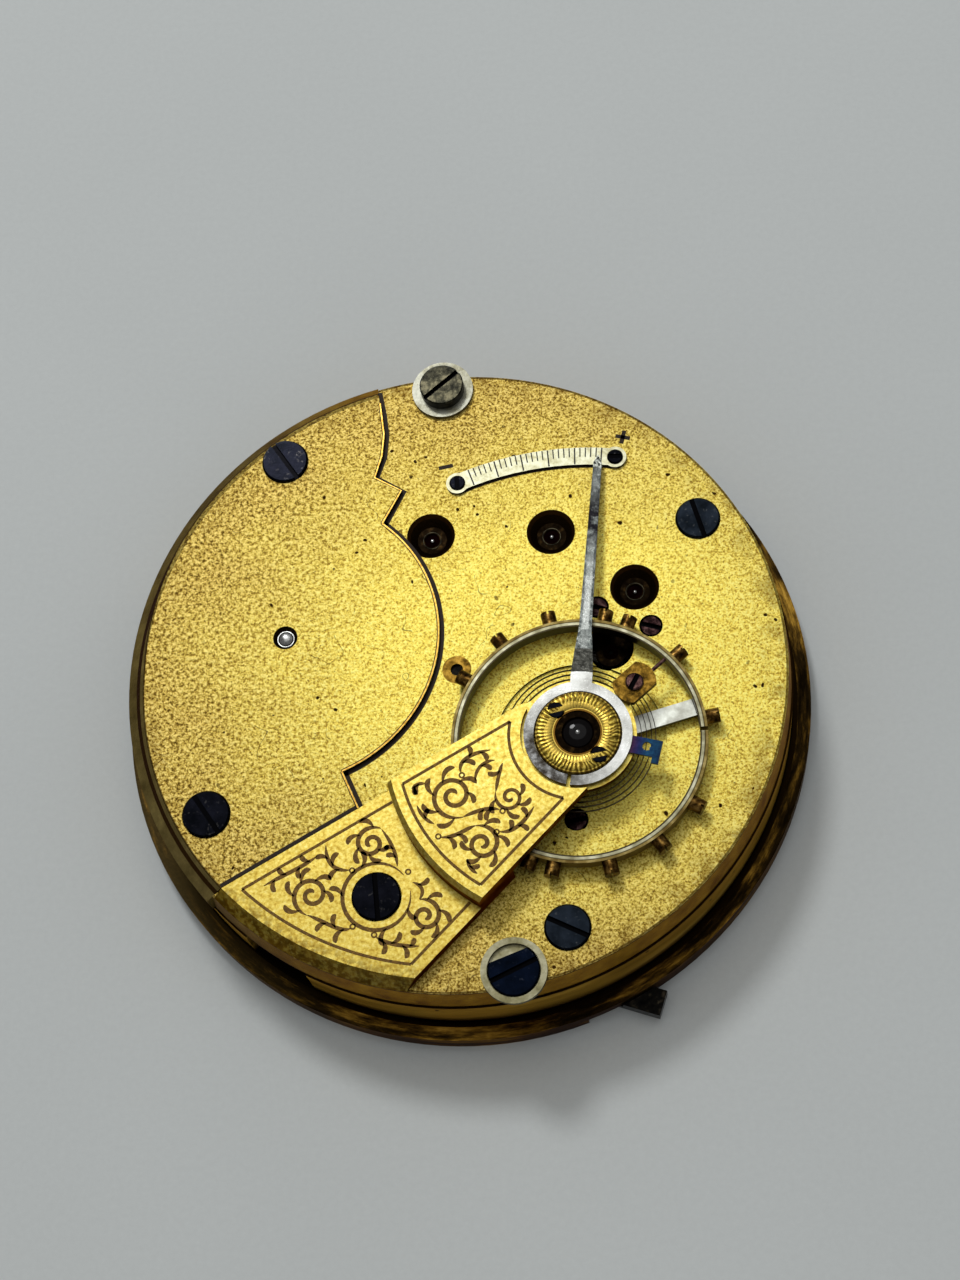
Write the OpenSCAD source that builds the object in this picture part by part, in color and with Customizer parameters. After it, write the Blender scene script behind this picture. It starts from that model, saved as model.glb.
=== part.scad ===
// A full plate pocket watch movement, lying on the rim of its pillar plate with the back up.
// Z = 0 is the rim plane on the dial side, +Z points out of the back, and the Z axis is the
// axis of the center wheel. Sizes are millimetres. Seen from the back, +X is right.

/* [Pillar plate] */
// Diameter of the pillar plate's flange
flange_d = 44.87; // [44.6:0.01:45.2]
// Height of the flange above the rim plane
flange_h = 1.7; // [1.5:0.05:1.9]
// Diameter of the band above the flange
band_d = 42.4; // [42.2:0.05:42.6]
// Inner diameter of the band
band_inner_d = 39.2; // [39:0.05:39.5]
// Depth of the recess on the dial side
recess_h = 1.3; // [1.25:0.05:1.5]
// Diameter of the recess on the dial side
recess_d = 40.4; // [40:0.1:41]
// Thickness of the pillar plate's web
web_t = 0.9; // [0.8:0.05:1]
// Space between the web and the underside of the upper plates
inner_h = 3.9; // [3.85:0.05:4.2]
// Radius of the pillars that take the plate screws
pillar_r = 1.25; // [1.1:0.05:1.4]
// Radius of the dial foot holes
dial_foot_r = 0.6; // [0.5:0.05:0.7]
// Radius of the circle that the dial foot holes lie on
dial_foot_circle_r = 16.6; // [16.5:0.1:16.8]

/* [Upper plates] */
// Thickness of the top plate
plate_t = 1.6; // [1.5:0.05:1.8]
// Diameter of the top plate's upper edge
top_plate_d = 41.72; // [41.4:0.02:42]
// Height of the rim that the upper plates rest on the band with
lip_h = 0.8; // [0.7:0.05:1]
// Height of the barrel bridge's face over the top plate's face
bridge_rise = 0.3; // [0.1:0.05:0.4]
// Diameter of the barrel bridge at its widest
bridge_d = 42.6; // [42.4:0.05:42.8]
// Width of the barrel bridge's sloping edge
bridge_slope_w = 1.15; // [0.9:0.05:1.2]
// Height of the barrel bridge's sloping edge
bridge_slope_h = 0.9; // [0.6:0.05:1]
// Radius of the barrel bridge's round side, about the barrel arbor
bridge_round_r = 9.95; // [9.8:0.05:10.1]
// Gap between the two upper plates
seam_gap = 0.06; // [0.03:0.01:0.1]
// Radius of the jewel sinks
sink_r = 1.58; // [1.4:0.02:1.7]
// Depth of the jewel sinks
sink_depth = 0.75; // [0.6:0.05:0.9]
// Radius of the shallow turned sink round the balance
balance_sink_r = 5.4; // [5:0.1:5.6]
// Depth of the shallow turned sink round the balance
balance_sink_depth = 0.2; // [0.1:0.05:0.3]

/* [Balance cock] */
// Thickness of the cock's foot
foot_t = 0.9; // [0.7:0.05:1]
// Height of the cock's table over the top plate's face
table_rise = 2.45; // [2.4:0.05:2.6]
// Thickness of the cock's table
table_t = 0.8; // [0.7:0.05:0.85]
// Height of the cock's head over the top plate's face
head_rise = 2.05; // [1.95:0.05:2.1]
// Radius of the cock's round head
head_r = 3.6; // [3.4:0.05:3.8]
// Radius of the step from the foot to the table, about the balance
table_arc_r = 12.1; // [11.9:0.05:12.3]
// Radius that the cock's riser keeps clear for the balance
riser_r = 9.3; // [9.2:0.05:9.6]
// Offset of the cock's upper edge from the balance axis
cock_upper_offset = 3.46; // [3.3:0.02:3.5]
// Offset of the cock's lower edge from the balance axis
cock_lower_offset = 2.8; // [2.7:0.05:3]
// Direction of the cock's upper edge in degrees
cock_upper_angle = 31.5; // [31:0.1:32]
// Direction of the cock's lower edge in degrees
cock_lower_angle = 47.9; // [47:0.1:49]

/* [Train places] */
// Barrel arbor, distance along X
barrel_x = -11.1; // [-11.2:0.02:-11]
// Barrel arbor, distance along Y
barrel_y = 2.2; // [2:0.05:2.4]
// Third wheel, distance along X
third_x = -1.97; // [-2.1:0.01:-1.8]
// Third wheel, distance along Y
third_y = 9.3; // [9.2:0.05:9.5]
// Fourth wheel, distance along X
fourth_x = 5.83; // [5.7:0.01:6]
// Fourth wheel, distance along Y
fourth_y = 9.45; // [9.3:0.05:9.6]
// Escape wheel, distance along X
escape_x = 11.24; // [11.1:0.01:11.4]
// Escape wheel, distance along Y
escape_y = 5.5; // [5.4:0.05:5.6]
// Pallet arbor, distance along X
pallet_x = 9.7; // [9.6:0.01:9.8]
// Pallet arbor, distance along Y
pallet_y = 1.4; // [1.3:0.05:1.5]
// Balance axis, distance along X
balance_x = 7.88; // [7.8:0.01:7.95]
// Balance axis, distance along Y
balance_y = -5.15; // [-5.25:0.01:-5.05]
// Direction of the winding stem from the center in degrees
stem_angle = 238.4; // [238:0.1:239]

/* [Train sizes] */
// Thickness of the train wheels
wheel_t = 0.25; // [0.2:0.01:0.28]
// Radius of the train pivots
pivot_r = 0.12; // [0.1:0.01:0.14]
// Radius of the train arbors between their pivots
arbor_r = 0.32; // [0.25:0.01:0.36]
// Running clearance of pivots and arbors in their holes
run_gap = 0.03; // [0.02:0.005:0.04]
// Height of the barrel
barrel_h = 2.05; // [1.9:0.05:2.1]
// Height of the barrel's toothed ring
barrel_ring_h = 0.6; // [0.5:0.05:0.7]
// Wall of the barrel's drum
drum_wall = 0.45; // [0.35:0.05:0.6]
// Thickness of the mainspring
mainspring_t = 0.16; // [0.14:0.01:0.2]
// Turns of the mainspring
mainspring_turns = 9; // [7:1:11]
// Radius of the escape wheel
escape_r = 3.78; // [3.7:0.01:3.8]
// Clearance between the pallet stones and the escape wheel
stone_gap = 0.12; // [0.1:0.01:0.2]

/* [Balance] */
// Outer radius of the balance rim
rim_r = 7.95; // [7.8:0.01:8]
// Radial width of the balance rim
rim_w = 0.48; // [0.4:0.02:0.6]
// Height of the balance rim
rim_h = 1; // [0.9:0.05:1.05]
// Gap under the balance rim
rim_gap = 0.4; // [0.35:0.05:0.45]
// Width of each cut in the balance rim
rim_cut_w = 0.25; // [0.15:0.05:0.4]
// Angle from the balance arm to the cut next to it
rim_cut_angle = 13; // [10:0.5:16]
// Direction of the balance arm at rest in degrees
arm_angle = 17.5; // [16:0.5:19]
// Width of the balance arm at the rim
arm_w = 1.1; // [1:0.05:1.5]
// Thickness of the balance arm
arm_t = 0.35; // [0.3:0.05:0.4]
// Radius of the balance screw heads
timing_r = 0.47; // [0.4:0.01:0.48]
// Length of the balance screw heads
timing_l = 0.85; // [0.65:0.05:0.9]
// Radius of the impulse roller
roller_r = 1.35; // [1.2:0.05:1.5]
// Radius that the impulse pin turns on
impulse_r = 0.95; // [0.9:0.05:1]

/* [Hairspring] */
// Turns of the hairspring
spring_turns = 6; // [5:0.5:6.5]
// Radius of the hairspring's outer end
spring_outer_r = 4.75; // [4.6:0.05:4.9]
// Radius of the hairspring's inner end
spring_inner_r = 0.81; // [0.75:0.01:0.9]
// Radius of the hairspring's wire
spring_wire_r = 0.06; // [0.05:0.005:0.08]

/* [Regulator] */
// Outer radius of the regulator's ring
reg_outer_r = 3.35; // [3.3:0.01:3.45]
// Inner radius of the regulator's ring
reg_inner_r = 2.73; // [2.7:0.01:2.85]
// Thickness of the regulator
reg_t = 0.35; // [0.3:0.05:0.45]
// Direction of the pointer at rest in degrees
pointer_angle = 87.1; // [86.5:0.1:90]
// Radius of the pointer's tip
pointer_tip_r = 19.8; // [19.5:0.05:20]
// Inner radius of the index scale, about the balance
index_inner_r = 19.27; // [19.2:0.01:19.4]
// Outer radius of the index scale, about the balance
index_outer_r = 20.5; // [20.3:0.01:20.6]
// Thickness of the index scale
index_t = 0.22; // [0.15:0.01:0.25]
// Direction of the index scale's fast end from the balance in degrees
index_fast_angle = 84; // [83.5:0.1:84.5]
// Direction of the index scale's slow end from the balance in degrees
index_slow_angle = 114.4; // [114:0.1:115]

/* [Screws] */
// Radius of the barrel bridge and cock screw heads
big_head_r = 1.5; // [1.4:0.02:1.6]
// Radius of the top plate screw heads
plate_head_r = 1.4; // [1.3:0.02:1.5]
// Height of the plate screw heads over their plate
head_proud = 0.22; // [0.1:0.02:0.3]
// Width of the screw slots
slot_w = 0.32; // [0.2:0.02:0.36]
// Radius of the case screws' washers
washer_r = 2.03; // [1.9:0.01:2.1]
// Distance of the case screws from the center
case_screw_circle_r = 19.87; // [19.8:0.01:19.9]

/* [Winding and setting] */
// Teeth of the ratchet wheel
ratchet_n = 54; // [54:1:54]
// Teeth of the crown wheel
crown_n = 33; // [33:1:33]
// Radius of the winding pinion
winding_r = 1.6; // [1.55:0.01:1.62]
// Length of the winding pinion
winding_l = 2; // [1.8:0.1:2.2]
// Radius of the stem's bore in the winding pinion
stem_bore_r = 0.6; // [0.5:0.05:0.7]
// Width of the stem opening in the band
stem_opening_w = 4.6; // [4.4:0.1:5]
// Width of the setting lever
lever_w = 1.65; // [1.5:0.05:1.8]
// Thickness of the setting lever
lever_t = 0.45; // [0.4:0.05:0.5]

/* [Hidden] */
$fn = 72;
eps = 0.01;
over = 1;
seat_gap = 0.05;

// Levels, from the rim plane up
z_floor = recess_h;
z_web = recess_h + web_t;
z_under = z_web + inner_h;
z_top = z_under + plate_t;
z_band = z_under - lip_h;
z_bridge = z_top + bridge_rise;
z_foot = z_top + foot_t;
z_table = z_top + table_rise;
z_table_low = z_table - table_t;
z_head = z_top + head_rise;

// Places in plan
center_p = [0, 0];
barrel_p = [barrel_x, barrel_y];
third_p = [third_x, third_y];
fourth_p = [fourth_x, fourth_y];
escape_p = [escape_x, escape_y];
pallet_p = [pallet_x, pallet_y];
balance_p = [balance_x, balance_y];
bridge_screw_ps = [[-11.82, 14.7], [-15.42, -9.6]];
plate_screw_ps = [[15.29, 10.21], [7.25, -16.73]];
cock_screw_p = [-4.36, -15.05];
pallet_cock_screw_ps = [[12.28, 2.83], [8.87, 4.15]];
potence_screw_p = [7.69, -9.9];
pillar_ps = concat(bridge_screw_ps, plate_screw_ps, [cock_screw_p]);
far_case_p = polar(case_screw_circle_r, 94.4);
near_case_p = polar(case_screw_circle_r, -78.2);
crown_circle_r = 12.6;
crown_p = polar(crown_circle_r, stem_angle);
minute_circle_r = 3.36;
minute_p = polar(minute_circle_r, -30);
lever_p = [3.6, -17.2];
lever_clear_r = max(flange_d, band_d) / 2 + 0.1;
lever_nib_l = 1.165;
lever_end_p = polar(lever_clear_r + lever_nib_l, -57.2);

// Teeth
barrel_n = 78;
center_pinion_n = 12;
center_n = 80;
third_pinion_n = 10;
third_n = 75;
fourth_pinion_n = 10;
fourth_n = 80;
escape_pinion_n = 8;
escape_n = 15;
cannon_n = 12;
minute_n = 36;
minute_pinion_n = 12;
hour_n = 48;
winding_n = 12;
crown_face_n = 36;

// Modules of the gear pairs, from their distances
barrel_m = 2 * norm(barrel_p) / (barrel_n + center_pinion_n);
center_m = 2 * norm(third_p) / (center_n + third_pinion_n);
third_m = 2 * norm(fourth_p - third_p) / (third_n + fourth_pinion_n);
fourth_m = 2 * norm(escape_p - fourth_p) / (fourth_n + escape_pinion_n);
cannon_m = 2 * norm(minute_p) / (cannon_n + minute_n);
hour_m = 2 * norm(minute_p) / (minute_pinion_n + hour_n);
keyless_m = 2 * norm(crown_p - barrel_p) / (ratchet_n + crown_n);

// Heights of the train
barrel_lift = 0.15;
barrel_z = z_web + barrel_lift;
drum_top = barrel_z + barrel_h;
third_wheel_lift = 0.2;
third_wheel_z = drum_top + third_wheel_lift;
center_wheel_drop = 0.7;
center_wheel_z = z_under - center_wheel_drop;
fourth_wheel_drop = 0.9;
fourth_wheel_z = third_wheel_z - fourth_wheel_drop;
escape_wheel_lift = 0.3;
escape_wheel_z = third_wheel_z + escape_wheel_lift;
fork_t = 0.25;
fork_drop = 0.35;
fork_z = z_under - fork_drop;
leaf_over = 0.15;
cock_plate_lift = 0.15;
cock_plate_z = z_under + cock_plate_lift;
cock_plate_t = 0.55;
potence_drop = 2;
potence_z = z_under - potence_drop;
potence_t = 0.8;
jewel_t = 0.45;

// Heights and radii of the balance
rim_z = z_top + rim_gap - seat_gap;
timing_z = rim_z + rim_h / 2;
spring_drop = 0.35;
spring_z = z_table_low - spring_drop;
staff_r = 0.32;
hub_r = 1.3;
roller_t = 0.3;
impulse_pin_r = 0.15;
impulse_pin_l = 0.4;
impulse_low = fork_z + fork_t + seat_gap;
impulse_high = impulse_low + impulse_pin_l;

// Heights of the regulator
reg_z = z_head + seat_gap;
reg_top = reg_z + reg_t;
pointer_t = 0.22;
pointer_tip_rise = 0.65;
pointer_tip_top = z_top + pointer_tip_rise;

// Heights of the wheels on the dial side
keyless_drop = 0.75;
keyless_z = recess_h - keyless_drop;
keyless_t = 0.35;
lever_z = 0.3;
hour_z = 0.2;
minute_drop = 0.38;
minute_z = recess_h - minute_drop;
winding_z = keyless_z + keyless_t + seat_gap + winding_r;

// Radii of the barrel
barrel_tip_r = barrel_m * (barrel_n / 2 + 0.9);
barrel_tooth_w = 0.75;
drum_r = barrel_tip_r - barrel_tooth_w;
cover_t = 0.25;
cover_lip = 0.2;
barrel_journal_r = 1;
barrel_hub_r = 2.6;
ratchet_square_r = 0.9;
web_journal_r = 1.17;

// Places and sizes of the escapement and the balance
stone_w = 0.35;
stone_l = 0.9;
stone_side = 30;
pallets_t = wheel_t + 2 * seat_gap;
pallet_rock = 5;
stone_r0 = escape_r + stone_gap + escape_r * tan(stone_side) * sin(pallet_rock);
staff_low = potence_z + 0.32;
roller_z = impulse_high;
potence_jewel_r = 0.5;
timing_angles = [10.9, 42.9, 69.2, 79.4, 103.8, 127.4, 150.1];
timing_shank_r = 0.16;
timing_shank_l = 0.4;
stud_angle = 43.2;
stud_r = spring_outer_r;
stud_t = 0.45;
stud_leg_r = 0.25;
stud_screw_r = 0.3;
stud_screw_l = 0.25;
stud_pin_r = 0.12;
stud_pin_r0 = 5.3;
stud_pin_l = 2;
stud_pin_drop = 0.2;
stud_pin_z = z_head - stud_pin_drop;
balance_jewel_r = 0.6;
end_stone_r = 1;
cap_t = 0.55;
cap_hole_r = 1.4;
cap_head_r = 0.55;
cap_shank_r = 0.22;
cap_sink_depth = 0.25;
cap_screw_r = 1.98;
cap_screw_angles = [133.8, -48];
table_end = 1.26;
table_end_angle = 42.5;
curb_angle = -12;
curb_hole_r = 4.6;
curb_pin_r = 0.09;
curb_pin_off = spring_wire_r + curb_pin_r + seat_gap;
index_mid_r = (index_inner_r + index_outer_r) / 2;
index_screw_ps = [for (a = [index_fast_angle, index_slow_angle]) balance_p + polar(index_mid_r, a)];
index_boss_r = 0.74;
index_shank_r = 0.22;
index_hole_l = 0.8;
// Height of a wheel tooth over its pitch circle, in modules
tooth_tip = 0.85;
click_eye_r = 0.95;
click_gap = 0.684;
ratchet_tip_r = keyless_m * (ratchet_n / 2 + tooth_tip);
click_reach = ratchet_tip_r + click_eye_r + click_gap;
click_p = barrel_p + polar(click_reach, 100);
click_foot_p = [-7.2, 16.4];
click_bore_r = 0.45;
crown_bore_r = 1.03;
lever_bore_r = 0.45;
cannon_bore_r = 0.3;
cannon_pipe_r = 0.55;
minute_bore_r = 0.28;
motion_rim = 0.5;

function polar(r, a) = r * [cos(a), sin(a)];
function heading(a, b) = atan2(b[1] - a[1], b[0] - a[0]);

// One gear outline: each tooth has two root points and two tip points
function gear_points(n, r_root, r_tip, root_w, tip_w) = [
  for (i = [0 : n - 1], k = [0 : 3])
    let (half = [-root_w, -tip_w, tip_w, root_w][k], r = [r_root, r_tip, r_tip, r_root][k])
    polar(r, (i + half / 2) * 360 / n)
];

module at(p, z = 0) {
  translate([p[0], p[1], z]) children();
}

module disc_at(p, z, r, h) {
  at(p, z) cylinder(r = r, h = h);
}

// A flat bar between two points in plan
module bar2d(p, q, w) {
  translate(p) rotate(heading(p, q)) translate([0, -w / 2]) square([norm(q - p), w]);
}

// Depths in modules and widths in pitches of the wheels' teeth and the pinions' leaves
tooth_root = 1.2;
leaf_root = 1.15;
leaf_tip = 0.75;
tooth_root_w = 0.58;
leaf_root_w = 0.52;
tip_w = 0.2;

module wheel_teeth2d(n, m) {
  polygon(gear_points(n, m * (n / 2 - tooth_root), m * (n / 2 + tooth_tip), tooth_root_w, tip_w));
}

module pinion_leaves2d(n, m) {
  polygon(gear_points(n, m * (n / 2 - leaf_root), m * (n / 2 + leaf_tip), leaf_root_w, tip_w));
}

// A train wheel with arms, one tooth along its own X axis
module train_wheel(n, m, h, bore, arms = 5, rim = 0.55) {
  root_r = m * (n / 2 - tooth_root);
  wheel_hub_r = max(0.9, bore + 0.5);
  wheel_arm_w = 0.5;
  linear_extrude(h) difference() {
    wheel_teeth2d(n, m);
    difference() {
      circle(r = root_r - rim);
      circle(r = wheel_hub_r);
      for (i = [0 : arms - 1]) rotate(i * 360 / arms) translate([0, -wheel_arm_w / 2]) square([root_r, wheel_arm_w]);
    }
    circle(r = bore);
  }
}

// An arbor with thin pivots at both ends
module arbor(z_low, z_body, z_shoulder, z_high, r) {
  translate([0, 0, z_low]) cylinder(r = pivot_r, h = z_high - z_low);
  translate([0, 0, z_body]) cylinder(r = r, h = z_shoulder - z_body);
}

// A slotted screw whose head sits on Z = 0, shank down
module slotted_screw(head_r, head_h, shank_r, shank_l, slot_angle, slot_depth = slot_depth) {
  straight_h = head_h - head_chamfer;
  difference() {
    union() {
      cylinder(r = head_r, h = straight_h);
      translate([0, 0, straight_h]) cylinder(r1 = head_r, r2 = head_r - head_chamfer, h = head_chamfer);
      translate([0, 0, -shank_l]) cylinder(r = shank_r, h = shank_l + eps);
    }
    rotate(slot_angle) translate([-head_r - over, -slot_w / 2, head_h - slot_depth])
      cube([2 * (head_r + over), slot_w, slot_depth + over]);
  }
}

// A ring sector between two angles
module sector2d(r_in, r_out, a0, a1) {
  steps = max(2, ceil((a1 - a0) / 3));
  polygon(concat(
    [for (i = [0 : steps]) polar(r_out, a0 + (a1 - a0) * i / steps)],
    [for (i = [steps : -1 : 0]) polar(r_in, a0 + (a1 - a0) * i / steps)]
  ));
}

// Outline of the barrel bridge; grow widens it for the cut in the top plate
module bridge2d(grow = 0) {
  a = cock_upper_angle;
  seam_offset = cock_upper_offset + 0.24 - grow;
  intersection() {
    circle(r = bridge_d / 2 + grow * 2);
    translate(balance_p) rotate(a) translate([-60, seam_offset]) square([120, 80]);
    union() {
      translate(barrel_p) circle(r = bridge_round_r + grow);
      translate([grow, 0]) polygon([
        [-40, 40], [-11.2, 40], [-6.3, 22], [-5.92, 20], [-5.5, 18.1], [-5.27, 16.6], [-5.35, 15],
        [-5.76, 13.46], [-3.95, 12.48], [-5.1, 10.13], [-9, 2], [-6.93, -6.85], [-5.76, -9.3],
        [-5.76, -20], [-40, -40]
      ]);
    }
  }
}

// Outline of the whole balance cock but its round head
module cock2d() {
  intersection() {
    translate(balance_p) rotate(cock_upper_angle) translate([-60, cock_upper_offset - 60]) square([120, 60]);
    translate(balance_p) rotate(cock_lower_angle) translate([-60, -cock_lower_offset]) square([120, 60]);
    translate(balance_p) rotate(cock_lower_angle - 5) translate([-60, -30]) square([60.5, 60]);
  }
}

// Small sizes shared by several pieces
shank_r = 0.55;
shank_grip = 2.4;
thread_depth = 2.6;
head_depth = 0.5;
head_chamfer = 0.08;
slot_depth = 0.25;
big_head_h = head_depth + head_proud;
small_screw_r = 0.7;
small_screw_h = 0.4;
small_shank_r = 0.3;
setting_r = 0.95;
train_jewel_r = 0.5;
web_jewel_r = 0.6;
center_r = 0.5;
center_pivot_r = 0.37;
bush_r = 0.93;
barrel_pivot_r = 0.55;
pallet_hole_r = 1.5;
pallet_arbor_r = 0.22;
roller_hole_r = 1.7;
roller_sink_r = 2.1;
cock_arm_r = 0.95;
cock_neck_r = 0.75;
lever_travel = 13;
keyless_hole_top = z_web - 0.2;
keyless_boss_r = 1.2;
block_w = 3.2;
block_r = 18.6;
pinion_journal_r = 0.95;
face_tooth_h = 0.35;
washer_t = 0.3;
cup_h = 0.38;
cup_depth = 0.28;
half_head_r = 1.6;
washer_bore_r = shank_r + 0.2;
cock_chamfer = 0.3;
stone_tip_r = 0.5;
arbor_foot_z = z_floor + 0.2;
upper_pivot_l = 0.7;
arbor_body_z = z_web + seat_gap;

module gilt() {
  color([0.8, 0.62, 0.3]) children();
}

module steel() {
  color([0.72, 0.73, 0.75]) children();
}

module blued() {
  color([0.12, 0.14, 0.3]) children();
}

module jewel_red() {
  color([0.35, 0.06, 0.1]) children();
}

// A hole jewel with its bottom face on Z = 0
module hole_jewel(r, h) {
  difference() {
    cylinder(r = r, h = h);
    translate([0, 0, -eps]) cylinder(r = pivot_r + run_gap, h = h + 2 * eps);
  }
}

// The stem line, as children drawn along X from the center
module along_stem(z = 0) {
  translate([0, 0, z]) rotate(stem_angle) children();
}

// Plan of the setting lever, turned out by an angle
module lever2d(turn = 0, grow = 0) {
  translate(lever_p) rotate(-turn) {
    circle(r = keyless_boss_r + grow);
    rotate(heading(lever_p, lever_end_p)) translate([0, -lever_w / 2 - grow])
      square([norm(lever_end_p - lever_p) + grow, lever_w + 2 * grow]);
  }
}

module pillar_plate() {
  train = [third_p, fourth_p, escape_p, pallet_p];
  case_ps = [far_case_p, near_case_p];
  groove = 0.15;
  barrel_gap = 0.25;
  boss_gap = 0.03;
  post_z = 0.12;
  block_t = 1;
  block_over = 1.35;
  opening_r0 = block_r + 0.8;
  pit_gap = 0.1;
  pit_r0 = block_r - winding_l - 2 * pit_gap;
  lever_gap = 0.15;
  web_cut_z = z_floor - over;
  web_cut_h = web_t + 2 * over;
  gilt() difference() {
    union() {
      difference() {
        union() {
          cylinder(r = flange_d / 2, h = flange_h);
          cylinder(r = band_d / 2 - groove, h = z_band);
          translate([0, 0, flange_h + groove]) cylinder(r = band_d / 2, h = z_band - flange_h - groove);
        }
        translate([0, 0, z_web]) cylinder(r = band_inner_d / 2, h = z_band);
        translate([0, 0, -over]) cylinder(r = recess_d / 2, h = over + z_floor);
        at(barrel_p, z_web) cylinder(r = barrel_tip_r + barrel_gap, h = drum_top + barrel_gap - z_web);
        along_stem() translate([opening_r0, -stem_opening_w / 2, flange_h])
          cube([band_d / 2, stem_opening_w, z_band]);
      }
      for (p = pillar_ps) disc_at(p, z_web - eps, pillar_r, z_under - z_web + eps);
      for (p = case_ps) disc_at(p, z_web - eps, pillar_r, z_band - z_web + eps);
      for (p = [crown_p, lever_p])
        disc_at(p, keyless_z + keyless_t + boss_gap, keyless_boss_r, z_floor - keyless_z - keyless_t);
      disc_at(minute_p, post_z, minute_bore_r - run_gap, z_floor);
      along_stem() translate([block_r, -block_w / 2, z_floor])
        cube([block_t, block_w, winding_z + block_over - z_floor]);
    }
    for (p = pillar_ps) disc_at(p, z_under - thread_depth, shank_r, thread_depth + over);
    for (p = case_ps) disc_at(p, z_band - thread_depth, shank_r, thread_depth + over);
    for (p = train) disc_at(p, web_cut_z, web_jewel_r, web_cut_h);
    for (i = [0 : 2]) disc_at(polar(dial_foot_circle_r, 100 + 120 * i), web_cut_z, dial_foot_r, web_cut_h);
    disc_at(center_p, web_cut_z, center_r + run_gap, web_cut_h);
    disc_at(barrel_p, web_cut_z, web_journal_r + run_gap, web_cut_h);
    for (p = [crown_p, lever_p, click_p, click_foot_p]) disc_at(p, 0, small_shank_r, keyless_hole_top);
    along_stem() translate([pit_r0, -winding_r - pit_gap, 0])
      cube([block_r - pit_r0, 2 * (winding_r + pit_gap), z_web + over]);
    along_stem(winding_z) rotate([0, 90, 0]) translate([0, 0, block_r - over])
      cylinder(r = pinion_journal_r + run_gap, h = block_t + 2 * over);
    translate([0, 0, -over]) linear_extrude(over + lever_z + lever_t + pit_gap)
      for (turn = [0 : lever_travel / 2 : lever_travel]) lever2d(turn, lever_gap);
  }
}

// The hollow that both upper plates share, inside their lips and round the pillars
module upper_plate_hollow() {
  translate([0, 0, z_band - over]) cylinder(r = band_inner_d / 2, h = lip_h + over);
  for (p = pillar_ps) disc_at(p, z_band - over, pillar_r + seat_gap, lip_h + over);
}

// A hole right through the upper plates
module upper_hole(p, r) {
  disc_at(p, z_band - over, r, z_bridge - z_band + 2 * over);
}

// The pallet cock's plan
module pallet_cock2d(grow = 0) {
  for (p = concat([pallet_p], pallet_cock_screw_ps)) translate(p) circle(r = cock_arm_r + grow);
  for (p = pallet_cock_screw_ps) bar2d(pallet_p, p, 2 * (cock_neck_r + grow));
}

module top_plate() {
  edge_in = 0.1;
  pallet_cock_gap = 0.08;
  roller_sink_depth = 0.8;
  gilt() difference() {
    translate([0, 0, z_band]) cylinder(r1 = band_d / 2 - edge_in, r2 = top_plate_d / 2, h = z_top - z_band);
    upper_plate_hollow();
    translate([0, 0, z_band - over]) linear_extrude(z_top - z_band + 2 * over) bridge2d(seam_gap);
    for (p = [third_p, fourth_p, escape_p]) {
      upper_hole(p, setting_r);
      at(p, z_top - sink_depth) cylinder(r1 = setting_r, r2 = sink_r, h = sink_depth + eps);
    }
    upper_hole(center_p, bush_r);
    upper_hole(pallet_p, pallet_hole_r);
    translate([0, 0, z_under - over]) linear_extrude(over + cock_plate_z + cock_plate_t - z_under)
      pallet_cock2d(pallet_cock_gap);
    upper_hole(balance_p, roller_hole_r);
    disc_at(balance_p, z_under - over, roller_sink_r, over + roller_sink_depth);
    disc_at(balance_p, z_top - balance_sink_depth, balance_sink_r, over);
    for (p = plate_screw_ps) {
      disc_at(p, z_top - head_depth, plate_head_r + seat_gap, over);
      upper_hole(p, shank_r + seat_gap);
    }
    for (p = concat([potence_screw_p], pallet_cock_screw_ps)) upper_hole(p, small_shank_r + seat_gap);
    for (p = pallet_cock_screw_ps) disc_at(p, z_top - small_screw_h, small_screw_r + seat_gap, over);
    disc_at(potence_screw_p, z_top - balance_sink_depth - small_screw_h, small_screw_r + seat_gap, over);
    for (p = [cock_screw_p, far_case_p, near_case_p]) upper_hole(p, shank_r + seat_gap);
    for (p = index_screw_ps) disc_at(p, z_top - index_hole_l, index_shank_r, index_hole_l + over);
  }
}

module barrel_bridge() {
  oil_sink_depth = 0.3;
  oil_sink_r = barrel_pivot_r + 0.25;
  gilt() difference() {
    intersection() {
      union() {
        translate([0, 0, z_band]) cylinder(r = bridge_d / 2, h = z_bridge - bridge_slope_h - z_band);
        translate([0, 0, z_bridge - bridge_slope_h])
          cylinder(r1 = bridge_d / 2, r2 = bridge_d / 2 - bridge_slope_w, h = bridge_slope_h);
      }
      translate([0, 0, z_band - over]) linear_extrude(z_bridge - z_band + 2 * over) bridge2d();
    }
    upper_plate_hollow();
    for (p = bridge_screw_ps) {
      disc_at(p, z_bridge - head_depth, big_head_r + seat_gap, over);
      upper_hole(p, shank_r + seat_gap);
    }
    upper_hole(barrel_p, barrel_pivot_r + run_gap);
    at(barrel_p, z_bridge - oil_sink_depth)
      cylinder(r1 = barrel_pivot_r + run_gap, r2 = oil_sink_r, h = oil_sink_depth + eps);
  }
}

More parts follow.
